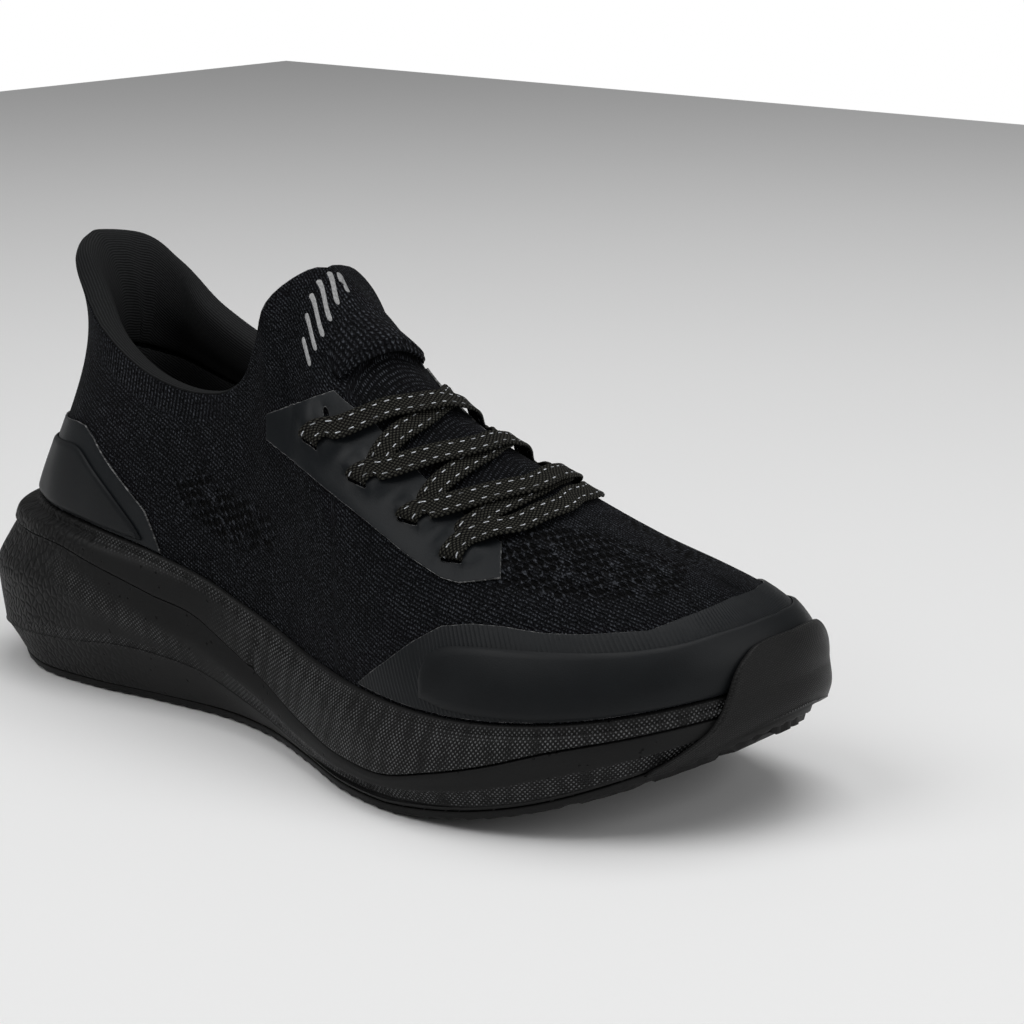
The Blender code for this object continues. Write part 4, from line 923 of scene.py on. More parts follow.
def lower_foam_zones(x, z, along, row, sign):
    """Zones of the lower foam: the twill band, the dimpled heel, the bevel under the crease."""
    band = ramp(x, 100, 128) * ramp(row, 2.9, 3.15) * (1 - ramp(row, 4.0, 4.3))
    share = (z - smooth(CREASE_Z, x)) / (smooth(GROOVE_Z, x) - smooth(CREASE_Z, x))
    slanting = bell(share + (x - 15) / 110, 0.95, 0.15) * ramp(x, 28, 48) * (1 - ramp(x, 80, 105))
    low = bell(share, 0.06, 0.07) * ramp(x, 12, 40) * (1 - ramp(x, 80, 110))
    dimples = (1 - ramp(x, 14, 62)) * ramp(row, 2.9, 3.2)
    bevel = (1 - ramp(row, 2.4, 2.9)) * (1 - ramp(x, 20, 80))
    return np.stack([np.maximum(band, 0.75 * np.maximum(slanting, low)), dimples, bevel], -1)


def lower_foam_shift(x, z, along, row, sign):
    """The twill band lies a little deeper than the ledge above it, all round."""
    band = ramp(x, 100, 128) * ramp(row, 3.05, 3.3) * (1 - ramp(row, 3.95, 4.15))
    return -0.45 * band


def make_lower_foam(foam, plain):
    floor = table(BOTTOM_Z, OUTSOLE_THICKNESS + GAP)
    controls = [
        (table(BOTTOM_INSET, -0.4), floor),
        (table(BOTTOM_INSET, -1.3), table(BOTTOM_Z, OUTSOLE_THICKNESS + GAP + 1.2)),
        (lambda x: np.minimum(1.9, smooth(BOTTOM_INSET, x)), table(CREASE_Z, -0.8)),
        (lambda x: np.minimum(1.7, smooth(BOTTOM_INSET, x)), table(CREASE_Z, 0.1)),
        (lambda x: np.full_like(x, 0.2), between(CREASE_Z, GROOVE_Z, 0.40)),
        (lambda x: np.full_like(x, 0.1), between(CREASE_Z, GROOVE_Z, 0.62)),
        (groove_inset(0.0), table(GROOVE_Z, -1.3)),
        (groove_inset(0.7), table(GROOVE_Z, -0.22)),
        (groove_inset(GROOVE_DEPTH), table(GROOVE_Z, -HALF_GROOVE_GAP)),
    ]
    sole_piece("midsole_lower_foam", controls, 7,
               lambda x, y: smooth(BOTTOM_Z, x) + OUTSOLE_THICKNESS + GAP,
               lambda x, y: smooth(GROOVE_Z, x) - HALF_GROOVE_GAP, [foam, plain], "foam",
               lower_foam_zones, lower_foam_shift, stands_for=["midsole_lower"])


def outsole_shift(x, z, along, row, sign):
    """Scallops along the tread's edge."""
    scallop = 0.5 + 0.5 * np.cos(2 * np.pi * along / SCALLOP_PITCH)
    return -SCALLOP_DEPTH * scallop**2 * (1 - ramp(row, 1.0, 1.9))


def tread_height(x, y):
    """The underside: cross grooves between lugs, a middle channel, all above the floor line."""
    floor = smooth(BOTTOM_Z, x)
    bend = x + 0.06 * np.abs(y - 2)
    cross = np.abs((bend / TREAD_PITCH) % 1 - 0.5) * TREAD_PITCH
    groove = 1 - ramp(cross, TREAD_WIDTH * 0.35, TREAD_WIDTH * 0.7)
    channel = 1 - ramp(np.abs(y + 3 - 6 * np.sin(x / 60)), 2.2, 3.4)
    return floor + TREAD_DEPTH * np.maximum(groove, channel * 0.8)


def make_outsole(rubber):
    controls = [
        (table(BOTTOM_INSET, 1.2), table(BOTTOM_Z, 0.02)),
        (table(BOTTOM_INSET, 0.2), table(BOTTOM_Z, 0.25)),
        (table(BOTTOM_INSET, -0.2), table(BOTTOM_Z, 1.2)),
        (table(BOTTOM_INSET, -0.5), table(BOTTOM_Z, OUTSOLE_THICKNESS - 0.3)),
        (table(BOTTOM_INSET, 0.6), table(BOTTOM_Z, OUTSOLE_THICKNESS)),
    ]
    sole_piece("outsole_tread", controls, 4, tread_height,
               lambda x, y: smooth(BOTTOM_Z, x) + OUTSOLE_THICKNESS, [rubber], "rubber",
               lambda x, z, along, row, sign: np.stack([ramp(row, 3.3, 3.8), 0 * x, 0 * x], -1),
               outsole_shift, columns=40, stands_for=["outsole"])


def make_sockliner(cloth, foam):
    """The removable sockliner: foam with rounded edges and a cloth top."""
    start = -CUP_DEPTH + BOARD_THICKNESS + 2 * GAP
    thick = SOCKLINER_THICKNESS

    def inset(shift):
        return lambda x: (smooth(BITE_INSET, x) + SOCKLINER_INSET + shift
                          + np.maximum(smooth(SOCKLINER_ROOM, x), 0))

    controls = [
        (inset(0.9), table(BITE_Z, start)),
        (inset(0.1), table(BITE_Z, start + 0.5)),
        (inset(0.0), table(BITE_Z, start + thick * 0.5)),
        (inset(0.15), table(BITE_Z, start + thick - 1.0)),
        (inset(0.8), table(BITE_Z, start + thick - 0.2)),
        (inset(2.0), table(BITE_Z, start + thick)),
    ]
    liner = sole_piece("sockliner_padded", controls, 3, lambda x, y: smooth(BITE_Z, x) + start,
                       lambda x, y: smooth(BITE_Z, x) + start + thick, [foam, cloth], "soft_foam",
                       lambda x, z, along, row, sign: np.zeros((*x.shape, 3)), columns=24,
                       body="sockliner", stands_for=["sockliner"])


def toe_wall(u, h, offset=0.0):
    """The wall of the toe from the outsole (h 0) over the sole's side (h 0.55) to the upper (h 1)."""
    u = np.asarray(u, float)
    h = np.asarray(h, float)
    points, normals = {}, {}
    for sign in (-1, 1):
        loop, out = side_of_loop(sign)
        fraction = np.linspace(0, 1, len(loop))
        points[sign] = np.stack([np.interp(np.abs(u), fraction, loop[:, k]) for k in range(2)], -1)
        normals[sign] = unit(np.stack([np.interp(np.abs(u), fraction, out[:, k]) for k in range(2)], -1))
    lateral = (u < 0)[..., None]
    xy = np.where(lateral, points[-1], points[1])
    n = np.where(lateral, normals[-1], normals[1])
    x = xy[..., 0]
    lean = smooth([(0, 1.0), (0.25, 0.3), (0.45, 0.0), (1, 0.0)], np.clip(h / 0.55, 0, 1))
    inset = smooth(BOTTOM_INSET, x) * lean - GAP - 0.1 - np.asarray(offset)
    low = smooth(BOTTOM_Z, x) + 0.6
    z = low + (smooth(BITE_Z, x) + 0.5 - low) * h / 0.55
    side = np.concatenate([xy - n * inset[..., None], z[..., None]], -1)
    v = np.clip((h - 0.55) / 0.45, 0, 1) * BUMPER_TOP + 0.01
    upper = around(u, v, BUMPER_REST + np.asarray(offset))
    share = ramp(h, 0.30, 0.95)[..., None]
    return side * (1 - share) + upper * share


def both_ways(edge, foot=()):
    """The outline of a band round the toe, from edges that meet at the toe's middle."""
    around_toe = [(-u, v) for u, v in edge] + [(u, v) for u, v in reversed(edge[:-1])]
    return around_toe + [(u, v) for u, v in reversed(foot)] + [(-u, v) for u, v in foot[1:]]


def past_heel(edge):
    """The outline of a band round the heel, on coordinates that run on past the heel."""
    return list(edge) + [(2 - u, v) for u, v in reversed(edge[:-1])]


def rounded_polygon(outline, share=0.22):
    """The outline with its corners cut twice."""
    points = [np.array(p, float) for p in outline]
    for _ in range(2):
        result = []
        for k, point in enumerate(points):
            before = points[k - 1]
            after = points[(k + 1) % len(points)]
            result.append(point + (before - point) * share)
            result.append(point + (after - point) * share)
        points = result
    return [tuple(p) for p in points]


def make_toe_bumper(rubber):
    thick = BUMPER_THICKNESS
    edge = [(1.8, 0.0), (0.0, 0.15), (0.0, thick - 0.7), (0.3, thick - 0.15), (0.8, thick + 0.1),
            (1.8, thick - 0.1)]
    outline = rounded_polygon(both_ways(BUMPER_EDGE, BUMPER_FOOT), 0.2)
    film_piece("toe_bumper_rubber", toe_wall, outline, edge, [rubber], "rubber", step=2.4,
               stands_for=["toe_bumper"])


# ---------------------------------------------------------------- the upper
def rim_lift(s):
    """How high the knit's folded rim stands: full at the tongue, less under the collar's lining."""
    return np.interp(s, [0.61, 0.66], [1.0, 0.3])


def rim_up(s, sign):
    """The direction in which the rim stands up, shared by both sides where they part."""
    upward = unit(skin(s, np.ones_like(s), sign) - skin(s, np.full_like(s, 0.94), sign))
    end, before = (skin(np.array([at]), np.ones(1), -1) for at in (TONGUE_TOP, TONGUE_TOP - 0.012))
    ridge = unit(end - before)
    share = ramp(s, TONGUE_TOP, TONGUE_TOP + 0.03)[:, None]
    return unit(ridge * (1 - share) + upward * share)


def slot_distance(s, w):
    """How far a place lies behind the tongue's lower edge, in millimetres along the ridge."""
    return (s - smooth([(w0, s0) for s0, w0 in SLOT_LINE], w)) * SKIN_SCALE[0]


def knit_relief(s, v, sign):
    """The tongue's lower edge stands up, and the throat in front of it dips under it."""
    w = (v - 1) if sign < 0 else (1 - v)
    behind = slot_distance(s, w)
    reach = np.clip(1 - (np.abs(w - 0.01) / 0.27)**2, 0, 1)
    up = TONGUE_EDGE_RISE * np.exp(-np.abs(behind) / 9.0) * (behind > 0)
    down = -THROAT_DIP * np.exp(-np.abs(behind) / 7.0) * (behind <= 0)
    return (up + down) * reach**0.7


def knit_zones(s, v):
    """Zones of the knit: open holes, the close speckled throat, the ribs under the collar."""
    holes = np.maximum(depth_inside(s, v, QUARTER_HOLES), depth_inside(s, v, VAMP_HOLES))
    throat = depth_inside(s, v, THROAT)
    rim = ramp(s, 0.62, 0.7) * ramp(v, 0.80, 0.9)
    return np.stack([ramp(holes, -1.0, 3.0), ramp(throat, -2.0, 3.0), rim], -1)


def rib_start(stations, length):
    """Where the ribs are counted from: the ridge up to the tongue, then on at a steady slope."""
    slopes = np.gradient(length, stations)
    last = int(np.searchsorted(stations, RIB_TURN))
    later = RIB_SLOPE + (slopes[last] - RIB_SLOPE) * np.exp(-(stations - RIB_TURN) / 0.03)
    later = np.concatenate([[0], np.cumsum(later[last:-1] * np.diff(stations[last:]))])
    return np.concatenate([length[:last], length[last] + later])


def knit_lip(outer, inner, at, sign):
    """The folded rim of the knit, from the top row of its outer face over to that of its inner one."""
    top = skin(at, np.ones_like(at), sign)
    normal = skin_normal(at, np.ones_like(at), sign)
    up = rim_up(at, sign)
    lip = [outer]
    for angle in np.radians([30, 60, 90, 120, 150]):
        lift = rim_lift(at)[:, None] * np.sin(angle)
        lip.append(top + up * lift + normal * (np.cos(angle) - 1) * KNIT_THICKNESS / 2)
    lip.append(inner)
    return np.stack(lip, 1)


def make_knit(finish):
    """The knitted upper, a closed shell with a rounded rim."""
    stations = np.sort(np.append(np.linspace(0, 1, KNIT_STATIONS + 1), TONGUE_TOP))
    heights = np.concatenate([[0.0], np.linspace(0, 1, KNIT_HEIGHTS + 1)])
    s, v = np.meshgrid(stations, heights, indexing="ij")
    points, faces, uv, zones = [], [], [], []
    first = 0
    for sign in (-1, 1):
        drop = np.zeros((*s.shape, 3))
        drop[:, 0, 2] = CUP_DEPTH - GAP
        outer = on_side(s, v, sign, knit_relief(s, v, sign)) - drop
        inner = on_side(s, v, sign, np.full_like(s, -KNIT_THICKNESS)) - drop
        length = np.cumsum(np.linalg.norm(np.diff(outer, axis=1), axis=2), axis=1)
        length = np.concatenate([np.zeros((len(stations), 1)), length], axis=1)
        ribs = (length - rib_start(stations, length[:, -1])[:, None]) * sign
        weave = np.stack([s * SKIN_SCALE[0], ribs], -1)
        painted = knit_zones(s, v)
        columns, rows = s.shape
        for sheet in (outer, inner):
            points.append(sheet.reshape(-1, 3))
            uv.append(weave.reshape(-1, 2))
            zones.append(painted.reshape(-1, 3))
            faces += grid_faces(columns, rows, first)
            first += columns * rows
        start = int(np.searchsorted(stations, TONGUE_TOP))
        at = stations[start:]
        lip = knit_lip(outer[start:, -1], inner[start:, -1], at, sign)
        points.append(lip.reshape(-1, 3))
        edge = np.stack([np.broadcast_to(at[:, None] * SKIN_SCALE[0], lip.shape[:2]),
                         np.broadcast_to(np.arange(lip.shape[1]) * 0.5, lip.shape[:2])], -1)
        uv.append(edge.reshape(-1, 2))
        zones.append(np.broadcast_to(painted[start:, -1][:, None], lip.shape).reshape(-1, 3))
        faces += grid_faces(len(at), lip.shape[1], first)
        first += lip.shape[0] * lip.shape[1]
        foot = np.stack([outer[:, 0], inner[:, 0]], 1)
        points.append(foot.reshape(-1, 3))
        uv.append(np.zeros((foot.shape[0] * 2, 2)))
        zones.append(np.zeros((foot.shape[0] * 2, 3)))
        faces += grid_faces(len(stations), 2, first)
        first += foot.shape[0] * 2
    whole = np.vstack(points)
    corner_uv = np.vstack(uv)[np.array([k for face in faces for k in face])]
    return piece("knit_shell", whole, faces, [finish], "knit", uv=corner_uv, zones=np.vstack(zones),
                 weld=True, stands_for=["knit_upper"])


def make_tongue_edge(knit):
    """The tongue's lower edge, a rounded lip over the throat that runs out into the tongue."""
    slot = np.array(SLOT_LINE)
    across_slot = np.linspace(-0.262, 0.282, 70)
    front = smooth([(w, s) for s, w in slot], across_slot)
    reach = np.clip(1 - (np.abs(across_slot - 0.01) / 0.272)**2, 0.0, 1)
    profile = [(3.4, -0.1), (0.8, 0.3), (-1.2, 1.0), (-2.0, 1.9), (-1.5, 2.8), (0.2, 3.2), (2.4, 2.9),
               (4.5, 2.2), (7.0, 1.2), (9.5, 0.1), (9.5, -0.5)]
    dense = smooth([(k, np.array(row)) for k, row in enumerate(profile)],
                   np.linspace(0, len(profile) - 1, 31))
    rows = []
    for w, s, high in zip(across_slot, front, reach):
        size = 0.25 + 0.75 * high**0.6
        at = s + dense[:, 0] * size / SKIN_SCALE[0]
        relief = 1.1 * np.exp(-np.abs(dense[:, 0]) * size / 9.0) * high**0.7
        rise = dense[:, 1] * (0.15 + 0.85 * high**0.6) + np.where(dense[:, 0] > 0, relief, relief * 0.4)
        rows.append(across(at, np.full(len(at), w), rise))
    rows = np.stack(rows)
    count = rows.shape[1]
    faces = grid_faces(len(rows), count, 0, wrap=True)
    faces += [tuple(range(count)), tuple(range(len(rows) * count - 1, (len(rows) - 1) * count - 1, -1))]
    weave = np.stack([np.broadcast_to(front[:, None] * SKIN_SCALE[0] + dense[:, 0], rows.shape[:2]),
                      np.broadcast_to((across_slot * 55)[:, None], rows.shape[:2])], -1)
    piece("tongue_lower_edge", rows.reshape(-1, 3), faces, [knit], "knit", uv=weave.reshape(-1, 2),
          zones=np.zeros((rows.shape[0] * count, 3)), stands_for=["tongue_welt"])


def make_films(film, cut_edge, guard, guard_edge, ribbed):
    low = GAP
    high = low + FILM_THICKNESS
    edge = [(0.35, low), (0.0, low), (0.0, high - 0.15), (0.12, high - 0.03), (0.35, high)]
    film_piece("toe_cap_film_sheet", around, both_ways(TOE_FILM_TOP), edge, [ribbed, cut_edge], "film",
               step=2.6, stands_for=["toe_cap_film"])
    film_piece("heel_film_sheet", around, past_heel(HEEL_FILM_TOP), edge, [film, cut_edge], "film",
               step=2.6, stands_for=["heel_film"])
    low = high + GAP
    high = low + GUARD_THICKNESS
    soft = [(2.4, low), (0.0, low), (0.05, low + 0.3), (0.4, high - 0.3), (1.1, high - 0.02), (2.4, high)]
    toe = rounded_polygon(both_ways(TOE_GUARD_TOP), 0.2)
    film_piece("toe_guard_shell", around, toe, soft, [guard, guard_edge], "guard", step=2.6,
               stands_for=["toe_guard"])
    heel = rounded_polygon(past_heel(HEEL_GUARD_TOP), 0.2)
    film_piece("heel_guard_shell", around, heel, soft, [guard, guard_edge], "guard", step=2.6,
               stands_for=["heel_guard"])


def slit_outline(centre, length, width):
    """A slit with round ends in skin coordinates, its length along the stations."""
    s, v = centre
    radius = width / 2
    reach = length / 2 - radius
    loop = []
    cos, sin = np.cos(SLIT_TILT), np.sin(SLIT_TILT)
    for turn, side in ((-90, 1), (90, -1)):
        for angle in np.radians(turn + np.linspace(0, 180, ROUND_END)):
            along = side * reach + radius * np.cos(angle)
            aside = radius * np.sin(angle)
            loop.append((s + (along * cos + aside * sin) / SKIN_SCALE[0],
                         v + (aside * cos - along * sin) / SKIN_SCALE[1]))
    return loop


def strip_place(level, along, aside):
    """Skin coordinates by the strip between two slits: along it from 0 to 1, aside in millimetres."""
    s0, v0 = OUTER_SLITS[level]
    s1, v1 = INNER_SLITS[level]
    return s0 + (s1 - s0) * along + aside / SKIN_SCALE[0], v0 + (v1 - v0) * along


def strip_lift(s, v):
    """How far the eyestay stands up over the lace: on the strips, and nowhere else."""
    lift = np.zeros(len(s))
    for (s0, v0), (s1, v1) in zip(OUTER_SLITS, INNER_SLITS):
        along = (v - v0) / (v1 - v0)
        aside = np.abs(s - s0 - (s1 - s0) * along) * SKIN_SCALE[0]
        on_strip = ramp(0.72 - np.abs(along - 0.5), 0, 0.45)
        lift = np.maximum(lift, STRIP_LIFT * on_strip * ramp(9.0 - aside, 0, 4.8))
    return GAP + lift


def make_eyestays(film, cut_edge):
    holes = [slit_outline(centre, SLIT_LENGTH, SLIT_WIDTH) for centre in OUTER_SLITS + INNER_SLITS[1:]]
    turns = np.linspace(0, 2 * np.pi, 16, endpoint=False)
    radius = EYELET_DIAMETER / 2
    holes.append([(EYELET[0] + np.cos(a) * radius / SKIN_SCALE[0],
                   EYELET[1] + np.sin(a) * radius / SKIN_SCALE[1]) for a in turns])
    edge = [(0.3, strip_lift), (0.0, strip_lift)]
    for inset, below in ((0.0, 0.15), (0.1, 0.03), (0.3, 0.0)):
        edge.append((inset, lambda s, v, below=below: strip_lift(s, v) + FILM_THICKNESS - below))
    for name, sign in (("lateral", -1), ("medial", 1)):

        def chart(s, v, offset, sign=sign):
            return on_side(s, v, sign, offset)

        film_piece(f"eyestay_{name}_film", chart, EYESTAY, edge, [film, cut_edge], "film", holes=holes,
                   step=2.0, stands_for=[f"eyestay_{name}"])


# ---------------------------------------------------------------- the collar and the linings
def section(u, rows):
    """Points of the collar's section at a station, from rows of (height, offset).

    A height over 1 stands for 1 and that many millimetres above the rim.
    """
    top = around(u, 1.0)
    normal = around(u, 1.0, 1.0) - top
    upward = unit(top - around(u, 0.94))
    points = []
    for height, offset in rows:
        if height > 1:
            points.append(top + upward * (height - 1) + normal * offset)
        else:
            points.append(around(u, height, offset))
    return np.array(points)


def swept(name, stations, rows, steps, finishes, slot, **more):
    """A closed piece through sections at the stations. rows may be a function of the station."""
    sections = []
    for u in stations:
        corners = section(u, rows(u) if callable(rows) else rows)
        looped = [(k, p) for k, p in enumerate(np.vstack([corners[-2:], corners, corners[:3]]))]
        at = np.linspace(2, 2 + len(corners), len(corners) * steps, endpoint=False)
        sections.append(smooth(looped, at))
    sections = np.stack(sections)
    count = sections.shape[1]
    faces = grid_faces(len(sections), count, 0, wrap=True)
    faces += end_caps(len(sections) * count, count)
    length = np.cumsum(np.linalg.norm(np.diff(sections, axis=1, prepend=sections[:, :1]), axis=2), axis=1)
    along = path_lengths(sections[:, 0])
    weave = np.stack([np.broadcast_to(along[:, None], length.shape), length], -1)
    return piece(name, sections.reshape(-1, 3), faces, finishes, slot, uv=weave.reshape(-1, 2), **more)


def collar_rows(u):
    """The collar's section: over the rim, down the padded inside to the seam, and back."""
    back = -KNIT_THICKNESS - INNER_GAP
    share = 1 - PAD_THINNING * bell(u, 1, PAD_THINNING_REACH)
    crease = GUSSET_DEPTH * bell(u, GUSSET, 0.007) - GUSSET_FOLD * bell(u - GUSSET, 0.016, 0.010)
    pad = back - PAD_THICKNESS * share - INNER_GAP - GAP
    face = pad - 0.8 + crease * share
    return [(1.3, -0.3), (1.9, -0.6), (2.5, 0.3 * pad), (2.5, 0.62 * pad), (1.9, 0.9 * pad), (0.97, face),
            (0.9, face - 0.3), (0.82, face - 0.1), (0.75, face + 1.0 * share), (0.68, back - 3.0),
            (0.62, back - 2.0), (0.6, back - 1.2), (0.62, back - 0.6), (0.7, back - 0.3),
            (0.8, back - 0.3), (0.9, back - 0.3), (0.97, back - 0.3), (1.2, -2.3)]


def make_collar(jersey):
    stations = np.linspace(COLLAR_START, 2 - COLLAR_START, COLLAR_STATIONS)
    collar = swept("collar_padding", stations, collar_rows, COLLAR_STEPS, [jersey], "jersey",
                   stands_for=["collar_lining", "collar_pad_lateral", "collar_pad_medial"])
    puff_up(collar, COLLAR_SWELL)


def puff_up(obj, cap):
    """Swells a padded piece with a short cloth simulation. Its outer side and its seam stay put."""
    mesh = obj.data
    before = np.empty(len(mesh.vertices) * 3)
    mesh.vertices.foreach_get("co", before)
    before = before.reshape(-1, 3)
    count = len(before) // COLLAR_STATIONS
    row = np.arange(len(before)) % count / COLLAR_STEPS
    first, last = COLLAR_FREE
    free = (row > first) & (row < last)
    column = np.arange(len(before)) // count
    free &= (column > 1) & (column < COLLAR_STATIONS - 2)
    held = obj.vertex_groups.new(name="held")
    held.add([int(k) for k in np.flatnonzero(~free)], 1.0, "REPLACE")
    cloth = obj.modifiers.new("Cloth", "CLOTH")
    settings = cloth.settings
    settings.vertex_group_mass = "held"
    for key, value in COLLAR_CLOTH.items():
        setattr(settings, key, value)
    settings.effector_weights.gravity = 0
    cloth.collision_settings.use_collision = False
    cloth.collision_settings.use_self_collision = False
    cloth.point_cache.frame_start = 1
    cloth.point_cache.frame_end = CLOTH_FRAMES
    scene = bpy.context.scene
    for frame_number in range(1, CLOTH_FRAMES + 1):
        scene.frame_set(frame_number)
    graph = bpy.context.evaluated_depsgraph_get()
    evaluated = obj.evaluated_get(graph)
    moved = np.empty(len(mesh.vertices) * 3)
    evaluated.data.vertices.foreach_get("co", moved)
    move = moved.reshape(-1, 3) - before
    size = np.linalg.norm(move, axis=1, keepdims=True)
    move *= np.minimum(1, cap / np.maximum(size, 1e-9))
    obj.modifiers.remove(cloth)
    obj.vertex_groups.remove(held)
    scene.frame_set(1)
    mesh.vertices.foreach_set("co", (before + move).ravel())
    mesh.update()


def make_linings(jersey):
    outer = -KNIT_THICKNESS - INNER_GAP - STIFFENER_THICKNESS - INNER_GAP
    inner = outer - LINING_THICKNESS
    heights = (0.04, 0.15, 0.3, 0.45, 0.57)
    rows = [(height, outer) for height in heights] + [(height, inner) for height in reversed(heights)]
    stations = np.linspace(COLLAR_START + 0.005, 2 - COLLAR_START - 0.005, 120)
    quarter = swept("quarter_lining_cloth", stations, rows, 3, [jersey], "jersey", crisp=50,
                    stands_for=["quarter_lining"])
    outline = [(0.24, -0.22), (0.34, -0.34), (0.45, -0.34), (0.505, -0.22), (0.505, 0.22), (0.45, 0.34),
               (0.34, 0.34), (0.24, 0.22)]
    low = -KNIT_THICKNESS - INNER_GAP - LINING_THICKNESS
    edge = [(0.4, low), (0.0, low + 0.3), (0.0, low + 0.7), (0.4, low + LINING_THICKNESS)]
    tongue = film_piece("tongue_lining_cloth", across, rounded_polygon(outline), edge, [jersey], "jersey",
                        step=3.5, stands_for=["tongue_lining"])


# ---------------------------------------------------------------- the lace
UNDER_STRIP = GAP + LACE_THICKNESS / 2
ON_FILM = 2 * GAP + FILM_THICKNESS + LACE_THICKNESS / 2
OVER_STRIP = ON_FILM + LACE_THICKNESS + GAP
ON_TONGUE = 1.2             # rise of the lower strand where two strands cross
# (place along a strip, aside, rise): from over the strip round its outer edge to under it.
SLIT_TURN = [
    (0.45, 0.0, OVER_STRIP), (0.14, 0.0, OVER_STRIP - 0.05),
    (0.0, 0.0, (OVER_STRIP + UNDER_STRIP) / 2),
    (0.14, 0.0, UNDER_STRIP + 0.05), (0.45, 0.0, UNDER_STRIP),
]
STRIP_EXIT = [(0.78, 0.0, UNDER_STRIP + 0.1), (1.0, 0.5, 1.3), (1.25, 1.5, ON_FILM)]


def lace_place(s, w, rise, lean=0.0):
    """A point of the route, the direction of the lace's width there, and how far it holds that direction.

    The width follows the stations, and leans with the slits where lean is 1.
    """
    reach = 0.02
    turn = -np.sign(w) * lean * reach * np.tan(SLIT_TILT) * SKIN_SCALE[0] / SKIN_SCALE[1]
    width = unit(across(s - reach, w + turn, rise) - across(s + reach, w - turn, rise))
    return across(s, w, rise), width, lean


def slit_places(sign, level, places):
    route = []
    for along, aside, rise in places:
        s, v = strip_place(level, along, aside)
        route.append(lace_place(s, sign * (1 - v), rise, 1.0))
    return route


def strand(sign, level):
    """From the outer slit at a level to the inner slit at the next, on the other side."""
    route = []
    for s, w, share in STRANDS[level]:
        if sign < 0:
            rise = ON_FILM + (OVER_STRIP - ON_FILM) * share
        elif w < NEAR_SLIT:
            rise = OVER_STRIP
        elif abs(w) > 0.24:
            rise = ON_FILM
        else:
            rise = ON_TONGUE + (ON_FILM - ON_TONGUE) * abs(w) / 0.24
        route.append(lace_place(s, w if sign < 0 else -w, rise))
    return route


def bar():
    """The lowest strand, straight from slit to slit."""
    half = [(s, w, OVER_STRIP if w < NEAR_SLIT else ON_FILM) for s, w in BAR]
    rows = half + [(s, -w, rise) for s, w, rise in reversed(half[:-1])]
    return [lace_place(*row) for row in rows]


def lace_half(sign):
    """Half of the lace, from its end to the lowest slit. sign is the side where the end is hidden."""
    route = slit_places(sign, 0, SLIT_TURN[::-1])
    for level in range(3):
        route += strand(sign, level)
        sign = -sign
        route += slit_places(sign, level + 1, STRIP_EXIT[::-1])
        route += slit_places(sign, level + 1, SLIT_TURN[::-1])
    return route


def make_lace(braid):
    route = lace_half(-1) + bar()[::-1] + lace_half(1)[::-1]
    points = np.array([p for p, _, _ in route])
    widths = np.array([w for _, w, _ in route])
    lengths = path_lengths(points)
    at = np.linspace(0, lengths[-1], int(lengths[-1] / LACE_STEP) + 1)
    path = smooth(list(zip(lengths, points)), at)
    width = smooth(list(zip(lengths, widths)), at)
    free = 1 - 0.9 * np.interp(at, lengths, [lean for _, _, lean in route])
    tangent = unit(np.gradient(path, axis=0))
    width = unit(width - tangent * (width * tangent).sum(axis=1)[:, None] * free[:, None])
    normal = unit(np.cross(tangent, width))
    half, thick = LACE_WIDTH / 2, LACE_THICKNESS / 2
    # The braid's section: flat faces that are a little hollow, with rolled edges.
    rim = [(-1.0, 0.0), (-0.97, 0.62), (-0.86, 1.0), (-0.62, 0.86), (-0.3, 0.74), (0.0, 0.7)]
    upper = rim + [(-x, y) for x, y in reversed(rim[:-1])]
    loop = upper + [(x, -y) for x, y in reversed(upper[1:-1])]
    points, weave = [], []
    for p, w, n, a in zip(path, width, normal, at):
        for x, y in loop:
            points.append(p + w * half * x + n * thick * y)
            weave.append((x * half, a))
    count = len(loop)
    faces = grid_faces(len(path), count, 0, wrap=True)
    faces += end_caps(len(points), count)
    piece("shoelace_braid", np.array(points), faces, [braid], "braid", uv=np.array(weave),
          stands_for=["shoelace"])


def make_print(ink):
    """A plain printed mark on the tongue: six slanted bars."""
    def chart(s, w, offset):
        lift = knit_relief(s, 1 - np.abs(w), np.where(w < 0, -1, 1)[0] if len(w) else -1)
        return across(s, w, offset + np.maximum(lift, 0))

    def capsule(s0, w0, s1, w1, width):
        start = np.array([s0 * SKIN_SCALE[0], w0 * PRINT_WIDTH])
        end = np.array([s1 * SKIN_SCALE[0], w1 * PRINT_WIDTH])
        along = unit((end - start)[None])[0]
        turn = np.arctan2(along[1], along[0])
        loop = []
        for centre, base in ((end, turn - np.pi / 2), (start, turn + np.pi / 2)):
            for angle in base + np.linspace(0, np.pi, ROUND_END):
                spot = centre + width / 2 * np.array([np.cos(angle), np.sin(angle)])
                loop.append((spot[0] / SKIN_SCALE[0], spot[1] / PRINT_WIDTH))
        return loop

    edge = [(0.12, 0.02), (0.0, 0.03), (0.0, 0.2), (0.12, 0.26)]
    for k, (w, half) in enumerate(PRINT_BARS):
        outline = capsule(PRINT_STATION - half, w - PRINT_SLANT * half, PRINT_STATION + half,
                          w + PRINT_SLANT * half, PRINT_STROKE)
        film_piece(f"tongue_print_{k + 1}", chart, outline, edge, [ink], "film", step=0.8)


# ---------------------------------------------------------------- materials
def grey(level, blue=1.0):
    return (level, level * (1 + blue) / 2, level * blue, 1.0)


